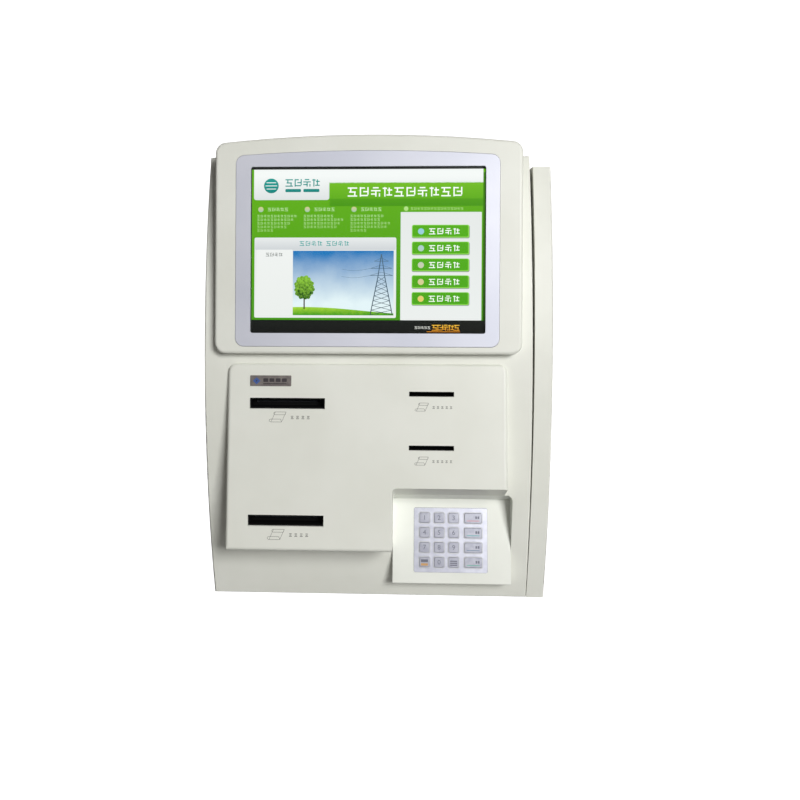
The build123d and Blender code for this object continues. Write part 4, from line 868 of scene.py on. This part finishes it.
@dataclass
class Nameplate:
    """The small plate above the upper slot, with a plain lozenge and bars in the place of a name."""

    film: float = 0.05

    def build(self) -> None:
        """Etches the plate."""
        low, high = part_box("badge_plate")
        face = face_of("badge_plate", PANEL_LEAN, low.x, low.z)
        blue = SurfaceFinish("etched_blue_enamel", "#3f5b9c", "#37528f", 0.3, 0.04, 0.1, 0.5, 0.004)
        pale = SurfaceFinish("etched_dark_enamel", "#2c2629", "#383236", 0.35, 0.05, 0.1, 0.5, 0.004)
        lozenge = Shape("nameplate_lozenge", blue.build())
        lozenge.outline(face, [(3.6, 6.9), (8.4, 2.4), (13.2, 6.9), (8.4, 11.4)], 0.01, self.film)
        lozenge.finish("door", "badge_metal")
        bars = Shape("nameplate_bars", pale.build())
        bars.outline(face, [(7.2, 6.9), (8.4, 5.8), (9.6, 6.9), (8.4, 8.0)], 0.08, self.film)
        for index in range(4):
            bars.plate(face.matrix(17.0 + index * 8.0, 5.6, 0.01), 6.2, 4.6, self.film, 0.8)
        bars.plate(face.matrix(17.0, 2.6, 0.01), 30.0, 1.2, self.film, 0.4)
        bars.finish("door", "badge_metal")


@dataclass
class KeyLegends:
    """Engraved and filled legends on the key tops: plain digits, and coloured bars on the wide keys."""

    digit_size: float = 8.6
    film: float = 0.05
    lift: float = 0.015
    key_flange: float = 1.0
    key_size: float = 13.2
    key_radius: float = 2.4
    gap: float = 0.35
    band: float = 1.0
    collar_drop: float = -0.89

    def build(self) -> None:
        """Marks every key and lays a painted highlight band on the collars round them."""
        self.collars()
        grey = SurfaceFinish("engraved_grey_fill", "#5d5e6b", "#676876", 0.45, 0.05, 0.2, 0.4, 0.004)
        material = grey.build()
        for digit in "1234567890":
            self.digit(digit, material)
        self.bars(material)

    def collars(self) -> None:
        """Lays a near-white band on the collar round each key: a painted highlight on the raised rim, with a
        polished sheen.
        """
        # The near-white colour of this band is a painted highlight on the collar rims, not a colour of the
        # steel.
        highlight_rim = SurfaceFinish("painted_highlight_stainless_rim", "#f1f2f6", "#e6e7ee", 0.22, 0.04, 0.55, 0.4, 0.004,
                               6.0)
        bands = Shape("painted_highlight_collars", highlight_rim.build())
        for name in frame["nodes"]:
            if not name.startswith("key_"):
                continue
            low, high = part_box(name)
            centre = key_top(name)
            half_wide = (high.x - low.x) / MM / 2 - self.key_flange + self.gap
            half_tall = self.key_size / 2 + self.gap
            face = LeaningFace(centre, KEYPAD_LEAN)
            bands.ring(face.matrix(0, 0, self.collar_drop), half_wide, half_tall, self.band, self.film,
                       self.key_radius)
        bands.finish("door", "key_steel")

    def digit(self, digit: str, material: bpy.types.Material) -> None:
        """Engraves one digit.

        Args:
            digit: the digit.
            material: the fill.
        """
        centre = key_top(f"key_{digit}")
        face = LeaningFace(centre, KEYPAD_LEAN)
        text = bpy.data.curves.new(f"legend_{digit}", "FONT")
        text.body = digit
        text.size = self.digit_size * MM
        text.align_x = "CENTER"
        text.align_y = "CENTER"
        text.extrude = self.film * MM / 2
        holder = bpy.data.objects.new(f"holder_{digit}", text)
        mesh = bpy.data.meshes.new_from_object(holder)
        bpy.data.objects.remove(holder)
        mesh.transform(face.matrix(0, 0, self.lift + self.film / 2))
        mesh.materials.clear()
        mesh.materials.append(material)
        piece = bpy.data.objects.new(f"legend_{digit}", mesh)
        bpy.context.scene.collection.objects.link(piece)
        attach(piece, f"button_{digit}")

    def bars(self, grey: bpy.types.Material) -> None:
        """Marks the wide keys and the two plain keys with bars.

        Args:
            grey: the fill of the plain bars.
        """
        inks = {
            "cancel": ("red_enamel_fill", "#c98f96", "#c0868d"),
            "correct": ("teal_enamel_fill", "#6aa9ad", "#5f9fa3"),
            "help": ("slate_enamel_fill", "#71849b", "#687b92"),
            "enter": ("green_enamel_fill", "#78b3a6", "#6da99b"),
            "clear": ("amber_enamel_fill", "#c79a63", "#bd8f58"),
        }
        for name, (ink, colour, shade) in inks.items():
            face = LeaningFace(key_top(f"key_{name}"), KEYPAD_LEAN)
            fill = SurfaceFinish(ink, colour, shade, 0.4, 0.05, 0.1, 0.5, 0.004).build()
            colour_bar = Shape(f"legend_bar_{name}", fill)
            half = 4.6 if name == "clear" else 8.4
            rise = -4.4 if name == "clear" else -4.0
            colour_bar.plate(face.matrix(-half, rise, self.lift), 2 * half, 3.0 if name == "clear" else 1.1,
                             self.film, 0.3)
            colour_bar.finish(f"button_{name}", "key_steel")
            marks = Shape(f"legend_marks_{name}", grey)
            if name == "clear":
                marks.plate(face.matrix(-half, 0.2, self.lift), 2 * half, 3.4, self.film, 0.3)
            else:
                marks.plate(face.matrix(3.0, -0.8, self.lift), 2.2, 3.4, self.film, 0.3)
                marks.plate(face.matrix(6.0, -0.8, self.lift), 2.2, 3.4, self.film, 0.3)
            marks.finish(f"button_{name}", "key_steel")
        face = LeaningFace(key_top("key_blank"), KEYPAD_LEAN)
        plain = Shape("legend_marks_blank", grey)
        for rise in (-4.2, -1.6, 1.0):
            plain.plate(face.matrix(-4.6, rise, self.lift), 9.2, 1.5, self.film, 0.3)
        plain.finish("button_blank", "key_steel")


@dataclass
class Studio:
    """Camera, light and the plain pale surroundings."""

    lens: float = 35.1
    camera_place: tuple[float, float, float] = (0.0405, -1.165, 0.155)
    pitch: float = -7.9
    yaw: float = 2.35
    shift: tuple[float, float] = (0.0288, -0.0425)
    key_power: float = 134.0
    key_size: float = 1.4
    key_azimuth: float = 27.0
    key_elevation: float = 20.0
    key_distance: float = 4.0
    fill: float = 0.048
    sheen_fill: float = 0.65
    backdrop_white: float = 1.15

    def build(self) -> None:
        """Sets up the studio."""
        self.camera()
        self.key_light()
        self.world()
        self.backdrop()

    def camera(self) -> None:
        """Makes the camera."""
        data = bpy.data.cameras.new("camera")
        data.lens = self.lens
        data.shift_x, data.shift_y = self.shift
        eye = bpy.data.objects.new("camera", data)
        eye.location = self.camera_place
        eye.rotation_euler = (math.radians(90 + self.pitch), 0, math.radians(self.yaw))
        bpy.context.scene.collection.objects.link(eye)
        bpy.context.scene.camera = eye

    def key_light(self) -> None:
        """Makes the soft light from the upper right."""
        data = bpy.data.lights.new("key", "AREA")
        data.energy = self.key_power
        data.size = self.key_size
        data.color = (1.0, 1.0, 0.99)
        lamp = bpy.data.objects.new("key", data)
        azimuth, elevation = math.radians(self.key_azimuth), math.radians(self.key_elevation)
        way = Vector((math.sin(azimuth) * math.cos(elevation), -math.cos(azimuth) * math.cos(elevation),
                      math.sin(elevation)))
        lamp.location = way * self.key_distance
        lamp.rotation_mode = "QUATERNION"
        lamp.rotation_quaternion = way.to_track_quat("Z", "Y")
        bpy.context.scene.collection.objects.link(lamp)

    def world(self) -> None:
        """Makes the white surroundings: dim as a light, brighter where a gloss mirrors them."""
        world = bpy.data.worlds.new("studio_white")
        world.use_nodes = True
        tree = world.node_tree
        ray = add_node(tree, "ShaderNodeLightPath")
        mirrored = add_node(tree, "ShaderNodeMapRange", {"Value": ray.outputs["Is Glossy Ray"],
                                                         "To Min": self.fill, "To Max": self.sheen_fill})
        level = add_node(tree, "ShaderNodeMix", {"Factor": ray.outputs["Is Camera Ray"],
                                                 2: mirrored.outputs[0], 3: self.backdrop_white})
        straight = add_node(tree, "ShaderNodeMath", {0: ray.outputs["Is Glossy Ray"],
                                                     1: ray.outputs["Is Camera Ray"]}, operation="MAXIMUM")
        tint = add_node(tree, "ShaderNodeMix", {"Factor": straight.outputs[0]}, data_type="RGBA")
        tint.inputs[6].default_value = (1.0, 0.88, 0.76, 1.0)
        tint.inputs[7].default_value = (0.985, 0.99, 1.0, 1.0)
        ground = tree.nodes["Background"]
        tree.links.new(tint.outputs[2], ground.inputs["Color"])
        tree.links.new(level.outputs[0], ground.inputs["Strength"])
        bpy.context.scene.world = world
        bpy.context.scene.view_settings.view_transform = "Standard"

    def backdrop(self) -> None:
        """Makes the pale floor and wall, far enough off to catch no shadow."""
        paper = bpy.data.materials.new("white_studio_paper")
        paper.use_nodes = True
        tree = paper.node_tree
        shader = tree.nodes["Principled BSDF"]
        shader.inputs["Base Color"].default_value = (0.45, 0.45, 0.45, 1.0)
        shader.inputs["Roughness"].default_value = 0.9
        shader.inputs["Emission Color"].default_value = (1.0, 1.0, 1.0, 1.0)
        seen = add_node(tree, "ShaderNodeLightPath").outputs["Is Camera Ray"]
        level = add_node(tree, "ShaderNodeMapRange", {"Value": seen, "To Min": 0.03,
                                                      "To Max": self.backdrop_white})
        tree.links.new(level.outputs[0], shader.inputs["Emission Strength"])
        for name, spot, turn in (("studio_floor", (0, 0, -1.3), 0.0), ("studio_wall", (0, 4.0, 0), 90.0)):
            mesh = bmesh.new()
            bmesh.ops.create_grid(mesh, x_segments=1, y_segments=1, size=8.0)
            bmesh.ops.rotate(mesh, cent=(0, 0, 0), matrix=Matrix.Rotation(math.radians(turn), 3, "X"),
                             verts=mesh.verts)
            bmesh.ops.translate(mesh, vec=spot, verts=mesh.verts)
            data = bpy.data.meshes.new(name)
            mesh.to_mesh(data)
            mesh.free()
            data.materials.append(paper)
            stand = bpy.data.objects.new(name, data)
            bpy.context.scene.collection.objects.link(stand)


def dress_nodes() -> None:
    """Gives every CAD node the finish of its material slot, and the keys their finer brushing in a darker
    copy of the same steel, as painted shade.
    """
    built = {name: finish.build() for name, finish in FINISHES.items()}
    built["screen_glass"] = TouchGlassFinish().build()
    # The key tops take a darker copy of the plate's stainless steel: painted shade, with the brushing turned
    # the other way.
    key_top_shaded_steel = SurfaceFinish("key_top_shaded_stainless", "#a3a4ae", "#9798a4", 0.4, 0.06, 0.7, 0.3, 0.008,
                                  6.0, (1.0, 1.0, 0.06)).build()
    for entry in frame["record"]["subparts"]:
        name = entry["node"]
        node = frame["nodes"][name]
        node.data.materials.clear()
        slot = entry["material_slot"]
        node.data.materials.append(key_top_shaded_steel if name.startswith("key_") else built[slot])
    log.info("%d nodes dressed", len(frame["nodes"]))


def main() -> None:
    """Builds the terminal's looks in order."""
    logging.basicConfig(level=logging.INFO)
    Studio().build()
    dress_nodes()
    WelcomePicture().build()
    PrintedMarks().build()
    Nameplate().build()
    KeyLegends().build()


if __name__ == "__main__":
    main()
